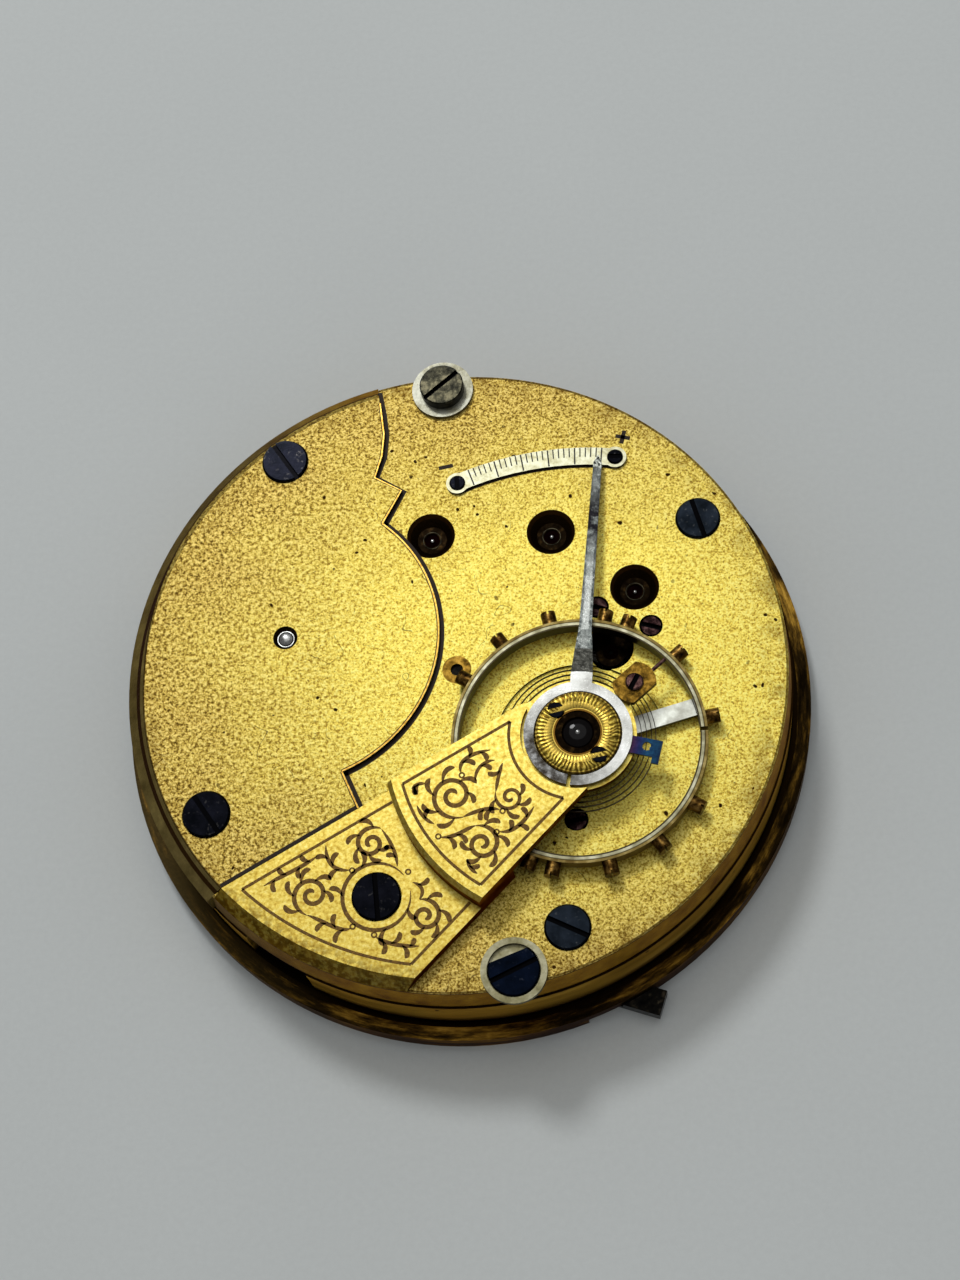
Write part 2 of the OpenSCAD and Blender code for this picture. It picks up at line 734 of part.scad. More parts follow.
module balance_cock() {
  slope = 0.7;
  ear_w = 1.3;
  ear_r = 5.9;
  gilt() difference() {
    union() {
      intersection() {
        translate([0, 0, z_top]) linear_extrude(foot_t) cock2d();
        translate([0, 0, z_top]) cylinder(r1 = top_plate_d / 2, r2 = top_plate_d / 2 - slope, h = foot_t);
      }
      intersection() {
        translate([0, 0, z_top]) linear_extrude(table_rise) cock2d();
        at(balance_p, z_top) {
          cylinder(r = table_arc_r, h = table_rise - cock_chamfer);
          translate([0, 0, table_rise - cock_chamfer])
            cylinder(r1 = table_arc_r, r2 = table_arc_r - cock_chamfer, h = cock_chamfer);
        }
      }
      disc_at(balance_p, z_table_low, head_r, z_head - z_table_low);
      at(balance_p, z_table_low) rotate(stud_angle) translate([0, -ear_w / 2, 0])
        cube([ear_r, ear_w, z_head - z_table_low]);
    }
    disc_at(balance_p, z_top - over, riser_r, z_table_low - z_top + over);
    disc_at(balance_p, z_head, head_r - seat_gap, 2 * over);
    at(balance_p, z_head) rotate(table_end_angle) translate([-table_end, -table_arc_r, 0])
      cube([2 * table_arc_r, 2 * table_arc_r, 2 * over]);
    disc_at(balance_p, z_table_low - over, balance_jewel_r, table_t + 2 * over);
    for (a = cap_screw_angles)
      disc_at(balance_p + polar(cap_screw_r, a), z_table_low - over, cap_shank_r, table_t + 2 * over);
    disc_at(balance_p + polar(stud_r, stud_angle), z_table_low - over, stud_leg_r + seat_gap, table_t + 2 * over);
    disc_at(cock_screw_p, z_foot - head_depth, big_head_r + seat_gap, head_depth + over);
    disc_at(cock_screw_p, z_top - over, shank_r + seat_gap, foot_t + 2 * over);
    at(balance_p, stud_pin_z) rotate(stud_angle) rotate([0, 90, 0]) translate([0, 0, stud_pin_r0])
      cylinder(r = stud_pin_r, h = over);
  }
}

module plate_screw(p, z, head_r, turn) {
  at(p, z - head_depth) slotted_screw(head_r, big_head_h, shank_r, z - head_depth - z_under + shank_grip, turn);
}

module top_plate_screws() {
  blued() for (i = [0 : 1]) plate_screw(plate_screw_ps[i], z_top, plate_head_r, [-72, -24][i]);
}

module barrel_bridge_screws() {
  blued() for (i = [0 : 1]) plate_screw(bridge_screw_ps[i], z_bridge, big_head_r, [-54, -54][i]);
}

module cock_screw() {
  blued() plate_screw(cock_screw_p, z_foot, big_head_r, 97);
}

module small_plate_screws() {
  potence_shank_l = 2;
  blued() {
    for (p = pallet_cock_screw_ps) at(p, z_top - small_screw_h)
      slotted_screw(small_screw_r, small_screw_h, small_shank_r, z_top - small_screw_h - cock_plate_z, -15);
    at(potence_screw_p, z_top - balance_sink_depth - small_screw_h)
      slotted_screw(small_screw_r, small_screw_h, small_shank_r, potence_shank_l, 10);
  }
}

module case_washer() {
  steel() difference() {
    disc_at(far_case_p, z_top, washer_r, washer_t);
    disc_at(far_case_p, z_top - over, washer_bore_r, washer_t + 2 * over);
  }
}

module case_screw() {
  case_head_r = 1.45;
  case_head_h = 0.75;
  color([0.3, 0.3, 0.32]) at(far_case_p, z_top + washer_t)
    slotted_screw(case_head_r, case_head_h, shank_r, z_top + washer_t - z_band + shank_grip, 42);
}

module cup_washer() {
  steel() at(near_case_p, z_top) difference() {
    cylinder(r = washer_r, h = cup_h);
    translate([0, 0, cup_h - cup_depth]) cylinder(r = half_head_r + seat_gap, h = over);
    translate([0, 0, -over]) cylinder(r = washer_bore_r, h = cup_h + 2 * over);
  }
}

module half_head_case_screw() {
  seat = cup_h - cup_depth;
  flat_off = 0.95;
  flat_turn = 11;
  half_slot_depth = 0.22;
  blued() at(near_case_p, z_top + seat) difference() {
    slotted_screw(half_head_r, head_depth - seat, shank_r, z_top + seat - z_band + shank_grip, 27, half_slot_depth);
    rotate(heading(near_case_p, center_p) + flat_turn) translate([flat_off, -half_head_r, 0])
      cube([half_head_r, 2 * half_head_r, over]);
  }
}

module mainspring_barrel() {
  gilt() at(barrel_p, barrel_z) difference() {
    union() {
      rotate(heading(barrel_p, center_p)) linear_extrude(barrel_ring_h) wheel_teeth2d(barrel_n, barrel_m);
      cylinder(r = drum_r, h = barrel_h);
    }
    translate([0, 0, cover_t]) cylinder(r = drum_r - drum_wall, h = barrel_h);
    translate([0, 0, barrel_h - cover_t]) cylinder(r = drum_r - drum_wall + cover_lip, h = over);
    translate([0, 0, -over]) cylinder(r = barrel_journal_r + run_gap, h = barrel_h + over);
  }
}

module barrel_cover() {
  gilt() at(barrel_p, drum_top - cover_t) difference() {
    cylinder(r = drum_r - drum_wall + cover_lip, h = cover_t);
    translate([0, 0, -over]) cylinder(r = barrel_journal_r + run_gap, h = cover_t + 2 * over);
  }
}

module barrel_arbor() {
  shoulder_gap = 0.02;
  pivot_drop = 0.25;
  steel() at(barrel_p) {
    translate([0, 0, keyless_z - seat_gap]) cylinder(r = ratchet_square_r, h = keyless_t + 2 * seat_gap);
    translate([0, 0, keyless_z + keyless_t + shoulder_gap])
      cylinder(r = web_journal_r, h = z_web + seat_gap - keyless_z - keyless_t);
    translate([0, 0, z_web]) cylinder(r = barrel_journal_r, h = z_under - seat_gap - z_web);
    translate([0, 0, barrel_z + cover_t + seat_gap])
      cylinder(r = barrel_hub_r, h = barrel_h - 2 * (cover_t + seat_gap));
    translate([0, 0, z_web]) cylinder(r = barrel_pivot_r, h = z_bridge - pivot_drop - z_web);
  }
}

// The mainspring's plan, a strip wound from the arbor to the drum
module mainspring() {
  steps = 24;
  hub_gap = 0.3;
  end_gap = 0.1;
  r_in = barrel_hub_r + hub_gap;
  r_out = drum_r - drum_wall - end_gap - mainspring_t / 2;
  count = mainspring_turns * steps;
  function coil(i, side) = polar(r_in + (r_out - r_in) * i / count + side * mainspring_t / 2, i * 360 / steps);
  color([0.45, 0.5, 0.6]) at(barrel_p, barrel_z + cover_t + end_gap)
    linear_extrude(barrel_h - 2 * (cover_t + end_gap)) polygon(concat([for (i = [0 : count]) coil(i, 1)], [for (i = [count : -1 : 0]) coil(i, -1)]));
}

module center_arbor() {
  stake_z = 0.1;
  pivot_drop = 0.2;
  steel() at(center_p) {
    translate([0, 0, stake_z]) cylinder(r = cannon_bore_r, h = z_floor);
    translate([0, 0, z_floor]) cylinder(r = center_r, h = center_wheel_z + wheel_t - z_floor);
    translate([0, 0, z_floor]) cylinder(r = center_pivot_r, h = z_top - pivot_drop - z_floor);
    translate([0, 0, barrel_z - seat_gap]) rotate(heading(center_p, barrel_p) + 180 / center_pinion_n)
      linear_extrude(barrel_ring_h + 2 * leaf_over) pinion_leaves2d(center_pinion_n, barrel_m);
  }
}

module center_wheel() {
  gilt() at(center_p, center_wheel_z) rotate(heading(center_p, third_p))
    train_wheel(center_n, center_m, wheel_t, center_r);
}

module center_bush() {
  gilt() at(center_p, z_under) difference() {
    cylinder(r = bush_r, h = plate_t);
    translate([0, 0, -over]) cylinder(r = center_pivot_r + run_gap, h = plate_t + 2 * over);
  }
}

// A train arbor with its pinion; toward is the place of the wheel that drives it
module pinion_arbor(p, toward, n, m, leaf_z) {
  steel() at(p) {
    arbor(arbor_foot_z, arbor_body_z, z_under - seat_gap, z_under + upper_pivot_l, arbor_r);
    translate([0, 0, leaf_z - leaf_over]) rotate(heading(p, toward) + 180 / n)
      linear_extrude(wheel_t + 2 * leaf_over) pinion_leaves2d(n, m);
  }
}

module third_arbor() {
  pinion_arbor(third_p, center_p, third_pinion_n, center_m, center_wheel_z);
}

module third_wheel() {
  gilt() at(third_p, third_wheel_z) rotate(heading(third_p, fourth_p))
    train_wheel(third_n, third_m, wheel_t, arbor_r);
}

module fourth_arbor() {
  pinion_arbor(fourth_p, third_p, fourth_pinion_n, third_m, third_wheel_z);
}

module fourth_wheel() {
  gilt() at(fourth_p, fourth_wheel_z) rotate(heading(fourth_p, escape_p))
    train_wheel(fourth_n, fourth_m, wheel_t, arbor_r);
}

module escape_arbor() {
  pinion_arbor(escape_p, fourth_p, escape_pinion_n, fourth_m, fourth_wheel_z);
}

// The escape wheel, with club teeth that lean forward
module escape_wheel() {
  tooth_l = 0.75;
  root_r = escape_r - tooth_l;
  rim = 0.4;
  escape_hub_r = 0.8;
  pitch = 360 / escape_n;
  club = [[root_r, 0], [escape_r - 0.2, 5.5], [escape_r, 8.5], [escape_r - 0.1, 10.8], [root_r, 9.5]];
  gilt() at(escape_p, escape_wheel_z) linear_extrude(wheel_t) difference() {
    polygon([for (i = [0 : escape_n - 1], c = club) polar(c[0], i * pitch + c[1])]);
    difference() {
      circle(r = root_r - rim);
      circle(r = escape_hub_r);
      for (i = [0 : 3]) rotate(i * 90) translate([0, -rim / 2]) square([root_r, rim]);
    }
    circle(r = arbor_r);
  }
}

module train_jewels() {
  upper_lift = 0.3;
  web_in = 0.15;
  cock_in = 0.1;
  jewel_red() {
    for (p = [third_p, fourth_p, escape_p]) at(p, z_under + upper_lift) hole_jewel(train_jewel_r, jewel_t);
    for (p = [third_p, fourth_p, escape_p, pallet_p])
      at(p, z_floor + web_in) hole_jewel(web_jewel_r, web_t - 2 * web_in);
    at(pallet_p, cock_plate_z + cock_in) hole_jewel(train_jewel_r, jewel_t);
  }
}

module jewel_settings() {
  setting_h = plate_t - sink_depth;
  cap_setting_h = 0.42;
  gilt() {
    for (p = [third_p, fourth_p, escape_p]) at(p, z_under) difference() {
      cylinder(r = setting_r, h = setting_h);
      translate([0, 0, -over]) cylinder(r = train_jewel_r, h = setting_h + 2 * over);
    }
    at(balance_p, z_head + seat_gap) difference() {
      cylinder(r = cap_hole_r, h = cap_setting_h);
      translate([0, 0, -over]) cylinder(r = end_stone_r, h = cap_setting_h + 2 * over);
    }
  }
}

module pallet_arbor() {
  upper_pivot_z = cock_plate_z + 0.45;
  steel() at(pallet_p) arbor(arbor_foot_z, arbor_body_z, cock_plate_z - seat_gap, upper_pivot_z, pallet_arbor_r);
}

// Places for the two stones, drawn along X from the escape wheel's axis
module at_stones(z = 0) {
  for (side = [-stone_side, stone_side]) at(escape_p, z) rotate(heading(escape_p, pallet_p) + side) children();
}

module stones2d(grow = 0) {
  at_stones() translate([stone_r0, -stone_w / 2 - grow]) square([stone_l + grow, stone_w + 2 * grow]);
}

module pallets() {
  pallets_hub_r = 0.8;
  pallet_arm_w = 0.9;
  stone_show = 0.2;
  tip_back = 0.15;
  steel() translate([0, 0, escape_wheel_z - seat_gap]) linear_extrude(pallets_t) difference() {
    union() {
      translate(pallet_p) circle(r = pallets_hub_r);
      for (side = [-stone_side, stone_side]) {
        tip = escape_p + polar(stone_r0 + stone_l - tip_back, heading(escape_p, pallet_p) + side);
        bar2d(pallet_p, tip, pallet_arm_w);
        translate(tip) circle(r = stone_tip_r);
      }
    }
    translate(escape_p) circle(r = stone_r0 + stone_show);
    stones2d();
    translate(pallet_p) circle(r = pallet_arbor_r);
  }
}

module pallet_stones() {
  jewel_red() translate([0, 0, escape_wheel_z - seat_gap]) linear_extrude(pallets_t) stones2d();
}

module fork() {
  reach = norm(balance_p - pallet_p);
  fork_l = reach - impulse_r;
  notch_w = 0.36;
  notch_l = 0.45;
  horn_l = 0.35;
  horn_w = 0.85;
  jaw_l = 0.4;
  jaw_w = 0.7;
  neck_l = 1.4;
  neck_w = 0.22;
  fork_hub_r = 0.6;
  staff_space_r = impulse_r - 0.25;
  guard_r = 0.1;
  guard_back = 0.2;
  gilt() at(pallet_p, fork_z) rotate(heading(pallet_p, balance_p)) {
    linear_extrude(fork_t) difference() {
      union() {
        circle(r = fork_hub_r);
        translate([0, -neck_w]) square([fork_l - jaw_l, 2 * neck_w]);
        polygon([[fork_l - neck_l, neck_w], [fork_l - jaw_l, jaw_w], [fork_l + horn_l, horn_w],
          [fork_l + horn_l, -horn_w], [fork_l - jaw_l, -jaw_w], [fork_l - neck_l, -neck_w]]);
      }
      circle(r = pallet_arbor_r);
      translate([fork_l - notch_l, -notch_w / 2]) square([notch_l + over, notch_w]);
      translate([reach, 0]) circle(r = staff_space_r);
    }
    translate([reach - roller_r - guard_back, 0, fork_t - eps])
      cylinder(r = guard_r, h = roller_z + roller_t / 2 - fork_z - fork_t);
  }
}

module pallet_cock() {
  gilt() difference() {
    translate([0, 0, cock_plate_z]) linear_extrude(cock_plate_t) pallet_cock2d();
    disc_at(pallet_p, cock_plate_z - over, train_jewel_r, cock_plate_t + 2 * over);
    for (p = pallet_cock_screw_ps) disc_at(p, cock_plate_z - over, small_shank_r, cock_plate_t + 2 * over);
  }
}

module banking_pins() {
  bank_r = 0.13;
  bank_reach = 3.6;
  bank_off = 0.78;
  steel() at(pallet_p, fork_z - run_gap) rotate(heading(pallet_p, balance_p)) for (side = [-1, 1])
    translate([bank_reach, side * bank_off, 0]) cylinder(r = bank_r, h = z_under - fork_z + run_gap);
}

module potence() {
  arm_end_r = 1.1;
  post_r = 1.2;
  potence_w = 1.7;
  thread_l = 1.2;
  gilt() difference() {
    union() {
      disc_at(potence_screw_p, potence_z, post_r, z_under - potence_z);
      disc_at(balance_p, potence_z, arm_end_r, potence_t);
      translate([0, 0, potence_z]) linear_extrude(potence_t) bar2d(potence_screw_p, balance_p, potence_w);
    }
    disc_at(balance_p, potence_z - over, potence_jewel_r, potence_t + 2 * over);
    disc_at(potence_screw_p, z_under - thread_l, small_shank_r, thread_l + over);
  }
}

module balance_staff() {
  staff_top = z_head + 0.07;
  body_low = potence_z + potence_t + seat_gap;
  body_top = z_table_low - seat_gap;
  seat_r = 0.9;
  seat_h = 0.2;
  rivet_r = 0.75;
  rivet_h = 0.25;
  steel() at(balance_p) {
    translate([0, 0, staff_low]) cylinder(r = pivot_r, h = staff_top - staff_low);
    translate([0, 0, body_low]) cylinder(r = staff_r, h = body_top - body_low);
    translate([0, 0, rim_z - seat_h]) cylinder(r = seat_r, h = seat_h);
    translate([0, 0, rim_z + arm_t]) cylinder(r = rivet_r, h = rivet_h);
  }
}

// Children drawn along X at the place of each balance screw
module at_timing_screws() {
  for (a = timing_angles, half = [0, 180]) at(balance_p, timing_z) rotate([0, 90, a + half]) children();
}

module balance_wheel() {
  color([0.85, 0.8, 0.62]) difference() {
    at(balance_p, rim_z) rotate(arm_angle) difference() {
      union() {
        difference() {
          cylinder(r = rim_r, h = rim_h);
          translate([0, 0, -over]) cylinder(r = rim_r - rim_w, h = rim_h + 2 * over);
        }
        linear_extrude(arm_t) {
          translate([-rim_r + rim_w / 2, -arm_w / 2]) square([2 * rim_r - rim_w, arm_w]);
          circle(r = hub_r);
        }
      }
      for (half = [0, 180]) rotate(half - rim_cut_angle)
        translate([rim_r - rim_w - over / 2, -rim_cut_w / 2, -over])
          cube([rim_w + over, rim_cut_w, rim_h + 2 * over]);
      translate([0, 0, -over]) cylinder(r = staff_r, h = rim_h + 2 * over);
    }
    at_timing_screws() translate([0, 0, rim_r - timing_shank_l]) cylinder(r = timing_shank_r, h = over);
  }
}

module balance_screws() {
  sink_in = 0.2;
  timing_slot_w = 0.12;
  timing_slot_depth = 0.2;
  color([0.32, 0.22, 0.15]) at_timing_screws() difference() {
    union() {
      translate([0, 0, rim_r - timing_shank_l]) cylinder(r = timing_shank_r, h = timing_shank_l + sink_in / 2);
      difference() {
        translate([0, 0, rim_r - sink_in]) cylinder(r = timing_r, h = timing_l + sink_in);
        rotate([0, -90, 0]) translate([0, 0, -over]) cylinder(r = rim_r, h = 2 * over);
      }
    }
    translate([-timing_r, -timing_slot_w / 2, rim_r + timing_l - timing_slot_depth])
      cube([2 * timing_r, timing_slot_w, over]);
  }
}

module roller() {
  passing_r = 0.25;
  passing_off = 0.12;
  steel() at(balance_p, roller_z - over) rotate(heading(balance_p, pallet_p)) difference() {
    translate([0, 0, over]) cylinder(r = roller_r, h = roller_t);
    cylinder(r = staff_r, h = 2 * over);
    translate([impulse_r, 0, 0]) cylinder(r = impulse_pin_r, h = 2 * over);
    translate([roller_r + passing_off, 0, 0]) cylinder(r = passing_r, h = 2 * over);
  }
}

module impulse_pin() {
  jewel_red() at(balance_p, impulse_low) rotate(heading(balance_p, pallet_p)) translate([impulse_r, 0, 0])
    cylinder(r = impulse_pin_r, h = roller_z + roller_t - impulse_low);
}

// The hairspring's line: a flat coil whose last stretch is concentric, so that the curb pins
// can slide along it
hair_steps = 24;
hair_even = 60;
hair_end = stud_angle;
hair_start = stud_angle - 360 * spring_turns;
function hair_r(a) = spring_inner_r
  + (spring_outer_r - spring_inner_r) * min(1, (a - hair_start) / (360 * spring_turns - hair_even));
function hair_point(a) = polar(hair_r(a), a);
hair_tip = [for (i = [0 : hair_steps * spring_turns])
  hair_point(hair_start + (hair_end - hair_start) * i / (hair_steps * spring_turns))];
hair_n = len(hair_tip);
hair_lead = 2 * spring_wire_r;
hair_line = concat(
  [hair_tip[0] - hair_lead * polar(1, hair_start + 90)],
  hair_tip,
  [hair_tip[hair_n - 1] + hair_lead * polar(1, hair_end + 90)]
);
hair_dirs = concat(
  [hair_start + 90],
  [for (i = [0 : hair_n - 1]) i == 0 ? hair_start + 90 : i == hair_n - 1 ? hair_end + 90
    : heading(hair_tip[i - 1], hair_tip[i + 1])],
  [hair_end + 90]
);
hair_gap = min([for (i = [0 : hair_n - 1], j = [i + hair_steps / 2 : hair_n - 1])
  norm(hair_tip[i] - hair_tip[j])]) - 2 * spring_wire_r;
echo(least_gap_between_hairspring_turns = hair_gap);

module hairspring() {
  sides = 6;
  rings = len(hair_line);
  points = [for (i = [0 : rings - 1], k = [0 : sides - 1])
    let (a = hair_dirs[i] + 90, c = spring_wire_r * cos(k * 60), s = spring_wire_r * sin(k * 60))
    [hair_line[i][0] + c * cos(a), hair_line[i][1] + c * sin(a), s]];
  faces = concat(
    [[for (k = [0 : sides - 1]) k]],
    [for (i = [0 : rings - 2], k = [0 : sides - 1], half = [0, 1])
      let (a = i * sides + k, b = i * sides + (k + 1) % sides)
      half == 0 ? [a, a + sides, b] : [b, a + sides, b + sides]],
    [[for (k = [sides - 1 : -1 : 0]) (rings - 1) * sides + k]]
  );
  color([0.35, 0.4, 0.55]) at(balance_p, spring_z) polyhedron(points = points, faces = faces);
}

module collet() {
  collet_r = spring_inner_r - spring_wire_r - 0.02;
  collet_h = 0.35;
  collet_drop = 0.2;
  lug = [0.28, 0.2, 0.24];
  gilt() at(balance_p, spring_z - collet_drop) {
    difference() {
      cylinder(r = collet_r, h = collet_h);
      translate([0, 0, -over]) cylinder(r = staff_r, h = collet_h + 2 * over);
    }
    rotate(hair_start) translate([spring_inner_r - 0.15, -hair_lead - lug[1], collet_drop - lug[2] / 2]) cube(lug);
  }
}

module hairspring_stud() {
  block_end_r = 1.35;
  flat_w = 1.9;
  leg_low = z_table_low - 0.2;
  grip = [0.36, 0.22, z_table_low - spring_z + 0.15];
  color([0.55, 0.45, 0.25]) at(balance_p) rotate(stud_angle) difference() {
    union() {
      translate([stud_r, 0, z_head]) intersection() {
        cylinder(r = block_end_r, h = stud_t);
        translate([-block_end_r, -flat_w / 2, 0]) cube([2 * block_end_r, flat_w, stud_t]);
      }
      translate([stud_r, 0, leg_low]) cylinder(r = stud_leg_r, h = z_head + seat_gap - leg_low);
      translate([stud_r - grip[0] / 2, hair_lead, z_table_low - grip[2]]) cube(grip);
    }
    translate([stud_r, 0, z_head + stud_t - stud_screw_l]) cylinder(r = stud_screw_r, h = over);
  }
}

module stud_pins() {
  stud_head_r = 0.56;
  stud_head_h = 0.22;
  stud_slot_depth = 0.12;
  color([0.15, 0.14, 0.16]) {
    at(balance_p) rotate(stud_angle) translate([stud_r, 0, z_head + stud_t])
      slotted_screw(stud_head_r, stud_head_h, stud_screw_r, stud_screw_l, 20, stud_slot_depth);
    at(balance_p, stud_pin_z) rotate(stud_angle) rotate([0, 90, 0]) translate([0, 0, stud_pin_r0])
      cylinder(r = stud_pin_r, h = stud_pin_l);
  }
}

module balance_cap() {
  cap_r = reg_inner_r - run_gap;
  cap_chamfer = 0.1;
  color([0.82, 0.62, 0.34]) at(balance_p, z_head) difference() {
    union() {
      cylinder(r = cap_r, h = cap_t - cap_chamfer);
      translate([0, 0, cap_t - cap_chamfer]) cylinder(r1 = cap_r, r2 = cap_r - cap_chamfer + eps, h = cap_chamfer);
    }
    translate([0, 0, seat_gap]) cylinder(r = cap_hole_r, h = over);
    translate([0, 0, -over]) cylinder(r = balance_jewel_r, h = 2 * over);
    for (a = cap_screw_angles) at(polar(cap_screw_r, a)) {
      translate([0, 0, -over]) cylinder(r = cap_shank_r, h = 2 * over);
      translate([0, 0, cap_t - cap_sink_depth]) cylinder(r = cap_head_r + run_gap, h = over);
    }
  }
}

module cap_screws() {
  cap_head_h = 0.32;
  cap_grip = 0.3;
  cap_slot_depth = 0.15;
  seat = cap_t - cap_sink_depth;
  blued() for (a = cap_screw_angles) at(balance_p + polar(cap_screw_r, a), z_head + seat)
    slotted_screw(cap_head_r, cap_head_h, cap_shank_r, seat + cap_grip, a + 60, cap_slot_depth);
}

module balance_jewels() {
  hole_stone_t = 0.3;
  end_stone_t = 0.22;
  low_end_stone_t = 0.2;
  potence_stone_lift = 0.35;
  jewel_red() {
    at(balance_p, z_table_low + seat_gap) hole_jewel(balance_jewel_r, hole_stone_t);
    disc_at(balance_p, z_head + 2 * seat_gap, end_stone_r, end_stone_t);
    at(balance_p, potence_z + potence_stone_lift) hole_jewel(potence_jewel_r, hole_stone_t);
    disc_at(balance_p, staff_low - end_stone_t, potence_jewel_r, low_end_stone_t);
  }
}

module regulator() {
  base_r = 4;
  slope_r = 5.67;
  base_w = 1.35;
  base_drop = 0.3;
  slope_w = 1.1;
  blade_r = 7.07;
  blade_w = 0.8;
  point_w = 0.54;
  point_l = 0.6;
  split_w = 0.24;
  point_r = pointer_tip_r - point_l;
  color([0.8, 0.8, 0.82]) at(balance_p) difference() {
    union() {
      translate([0, 0, reg_z]) cylinder(r = reg_outer_r, h = reg_t);
      rotate(pointer_angle) intersection() {
        rotate([90, 0, 0]) translate([0, 0, -base_w]) linear_extrude(2 * base_w) polygon([
          [reg_inner_r, reg_z], [reg_inner_r, reg_top], [base_r, reg_top],
          [slope_r, reg_top - base_drop], [pointer_tip_r, pointer_tip_top],
          [pointer_tip_r, pointer_tip_top - pointer_t], [slope_r, reg_top - base_drop - 0.25], [base_r, reg_z]
        ]);
        translate([0, 0, z_top]) linear_extrude(reg_top - z_top + over) polygon([
          [0, base_w / 2], [base_r, base_w / 2], [slope_r, slope_w / 2], [blade_r, blade_w / 2],
          [point_r, point_w / 2], [pointer_tip_r, 0],
          [point_r, -point_w / 2], [blade_r, -blade_w / 2], [slope_r, -slope_w / 2],
          [base_r, -base_w / 2], [0, -base_w / 2]
        ]);
      }
    }
    translate([0, 0, reg_z - over]) cylinder(r = reg_inner_r, h = reg_t + 2 * over);
    rotate(-100) translate([0, -split_w / 2, reg_z - over]) cube([base_r, split_w, reg_t + 2 * over]);
  }
}

module curb_arm() {
  curb_w = 1.1;
  curb_t = 0.2;
  curb_reach = 0.6;
  tab_w = 0.45;
  tab_out = 0.4;
  hole_r = 0.28;
  hole_p = [curb_hole_r - 0.3, seat_gap];
  pin_low = spring_z - 0.12;
  color([0.15, 0.25, 0.7]) at(balance_p) rotate(curb_angle) {
    translate([0, 0, reg_z]) linear_extrude(curb_t) difference() {
      union() {
        translate([reg_inner_r, -curb_w / 2]) square([curb_hole_r + curb_reach - reg_inner_r, curb_w]);
        translate([curb_hole_r + curb_reach - tab_w, -curb_w / 2 - tab_out]) square([tab_w, tab_out + curb_w / 2]);
      }
      circle(r = reg_outer_r);
      translate(hole_p) circle(r = hole_r);
    }
    for (side = [-1, 1]) translate([spring_outer_r + side * curb_pin_off, 0, pin_low])
      cylinder(r = curb_pin_r, h = reg_z + curb_t / 2 - pin_low);
  }
}

module index_scale() {
  steel() difference() {
    translate([0, 0, z_top]) linear_extrude(index_t) {
      translate(balance_p) sector2d(index_inner_r, index_outer_r, index_fast_angle, index_slow_angle);
      for (p = index_screw_ps) translate(p) circle(r = index_boss_r);
    }
    for (p = index_screw_ps) disc_at(p, z_top - over, index_shank_r, index_t + 2 * over);
  }
}

module index_screws() {
  index_head_r = 0.52;
  index_head_h = 0.13;
  index_shank_l = index_t + 0.7;
  index_slot_depth = 0.09;
  blued() for (i = [0 : 1]) at(index_screw_ps[i], z_top + index_t)
    slotted_screw(index_head_r, index_head_h, index_shank_r, index_shank_l, 95 * i, index_slot_depth);
}

module ratchet_wheel() {
  steel() at(barrel_p, keyless_z) rotate(heading(barrel_p, crown_p) + 180 / ratchet_n) difference() {
    linear_extrude(keyless_t) wheel_teeth2d(ratchet_n, keyless_m);
    translate([0, 0, -over]) cylinder(r = ratchet_square_r, h = keyless_t + 2 * over);
  }
}

module crown_wheel() {
  face_tooth_r0 = 4.1;
  face_tooth = [0.8, 0.2, face_tooth_h];
  steel() at(crown_p, keyless_z) {
    rotate(heading(crown_p, barrel_p)) difference() {
      linear_extrude(keyless_t) wheel_teeth2d(crown_n, keyless_m);
      translate([0, 0, -over]) cylinder(r = crown_bore_r, h = keyless_t + 2 * over);
    }
    for (i = [0 : crown_face_n - 1]) rotate(stem_angle + (i + 0.5) * 360 / crown_face_n)
      translate([face_tooth_r0, -face_tooth[1] / 2, keyless_t - eps]) cube(face_tooth);
  }
}

module winding_pinion() {
  end_gap = 0.1;
  winding_tooth_h = 0.4;
  journal_l = 0.9;
  steel() along_stem(winding_z) rotate([0, 90, 0]) translate([0, 0, block_r - end_gap - winding_l]) difference() {
    union() {
      linear_extrude(winding_l)
        polygon(gear_points(winding_n, winding_r - winding_tooth_h, winding_r, leaf_root_w, tip_w));
      cylinder(r = pinion_journal_r, h = winding_l + journal_l);
    }
    translate([0, 0, -over]) cylinder(r = stem_bore_r, h = winding_l + journal_l + 2 * over);
  }
}

module click() {
  nib_gap = 0.22;
  nib_w = 0.12;
  root_w = 0.7;
  nib = barrel_p + polar(ratchet_tip_r + nib_gap, 87);
  nib_l = norm(nib - click_p);
  steel() difference() {
    union() {
      disc_at(click_p, keyless_z, click_eye_r, keyless_t);
      at(click_p, keyless_z) rotate(heading(click_p, nib)) linear_extrude(keyless_t)
        polygon([[0, root_w], [nib_l, nib_w], [nib_l, -nib_w], [0, -root_w]]);
    }
    disc_at(click_p, keyless_z - over, click_bore_r, keyless_t + 2 * over);
  }
}

module click_spring() {
  tip_r = 1.35;
  strip_w = 0.3;
  tip = click_p + polar(tip_r, 62);
  steel() translate([0, 0, keyless_z]) linear_extrude(keyless_t) difference() {
    union() {
      translate(click_foot_p) circle(r = click_eye_r);
      bar2d(click_foot_p, tip, strip_w);
    }
    translate(click_foot_p) circle(r = small_shank_r);
  }
}

// A shouldered screw of the dial side, its head toward the dial
module keyless_screw(p, head_r, shoulder_r, shoulder_h, turn) {
  keyless_head_h = 0.22;
  keyless_slot_depth = 0.12;
  at(p, keyless_z - run_gap) rotate([180, 0, 0])
    slotted_screw(head_r, keyless_head_h, small_shank_r, keyless_hole_top - keyless_z, turn, keyless_slot_depth);
  disc_at(p, keyless_z - run_gap - eps, shoulder_r, shoulder_h);
}

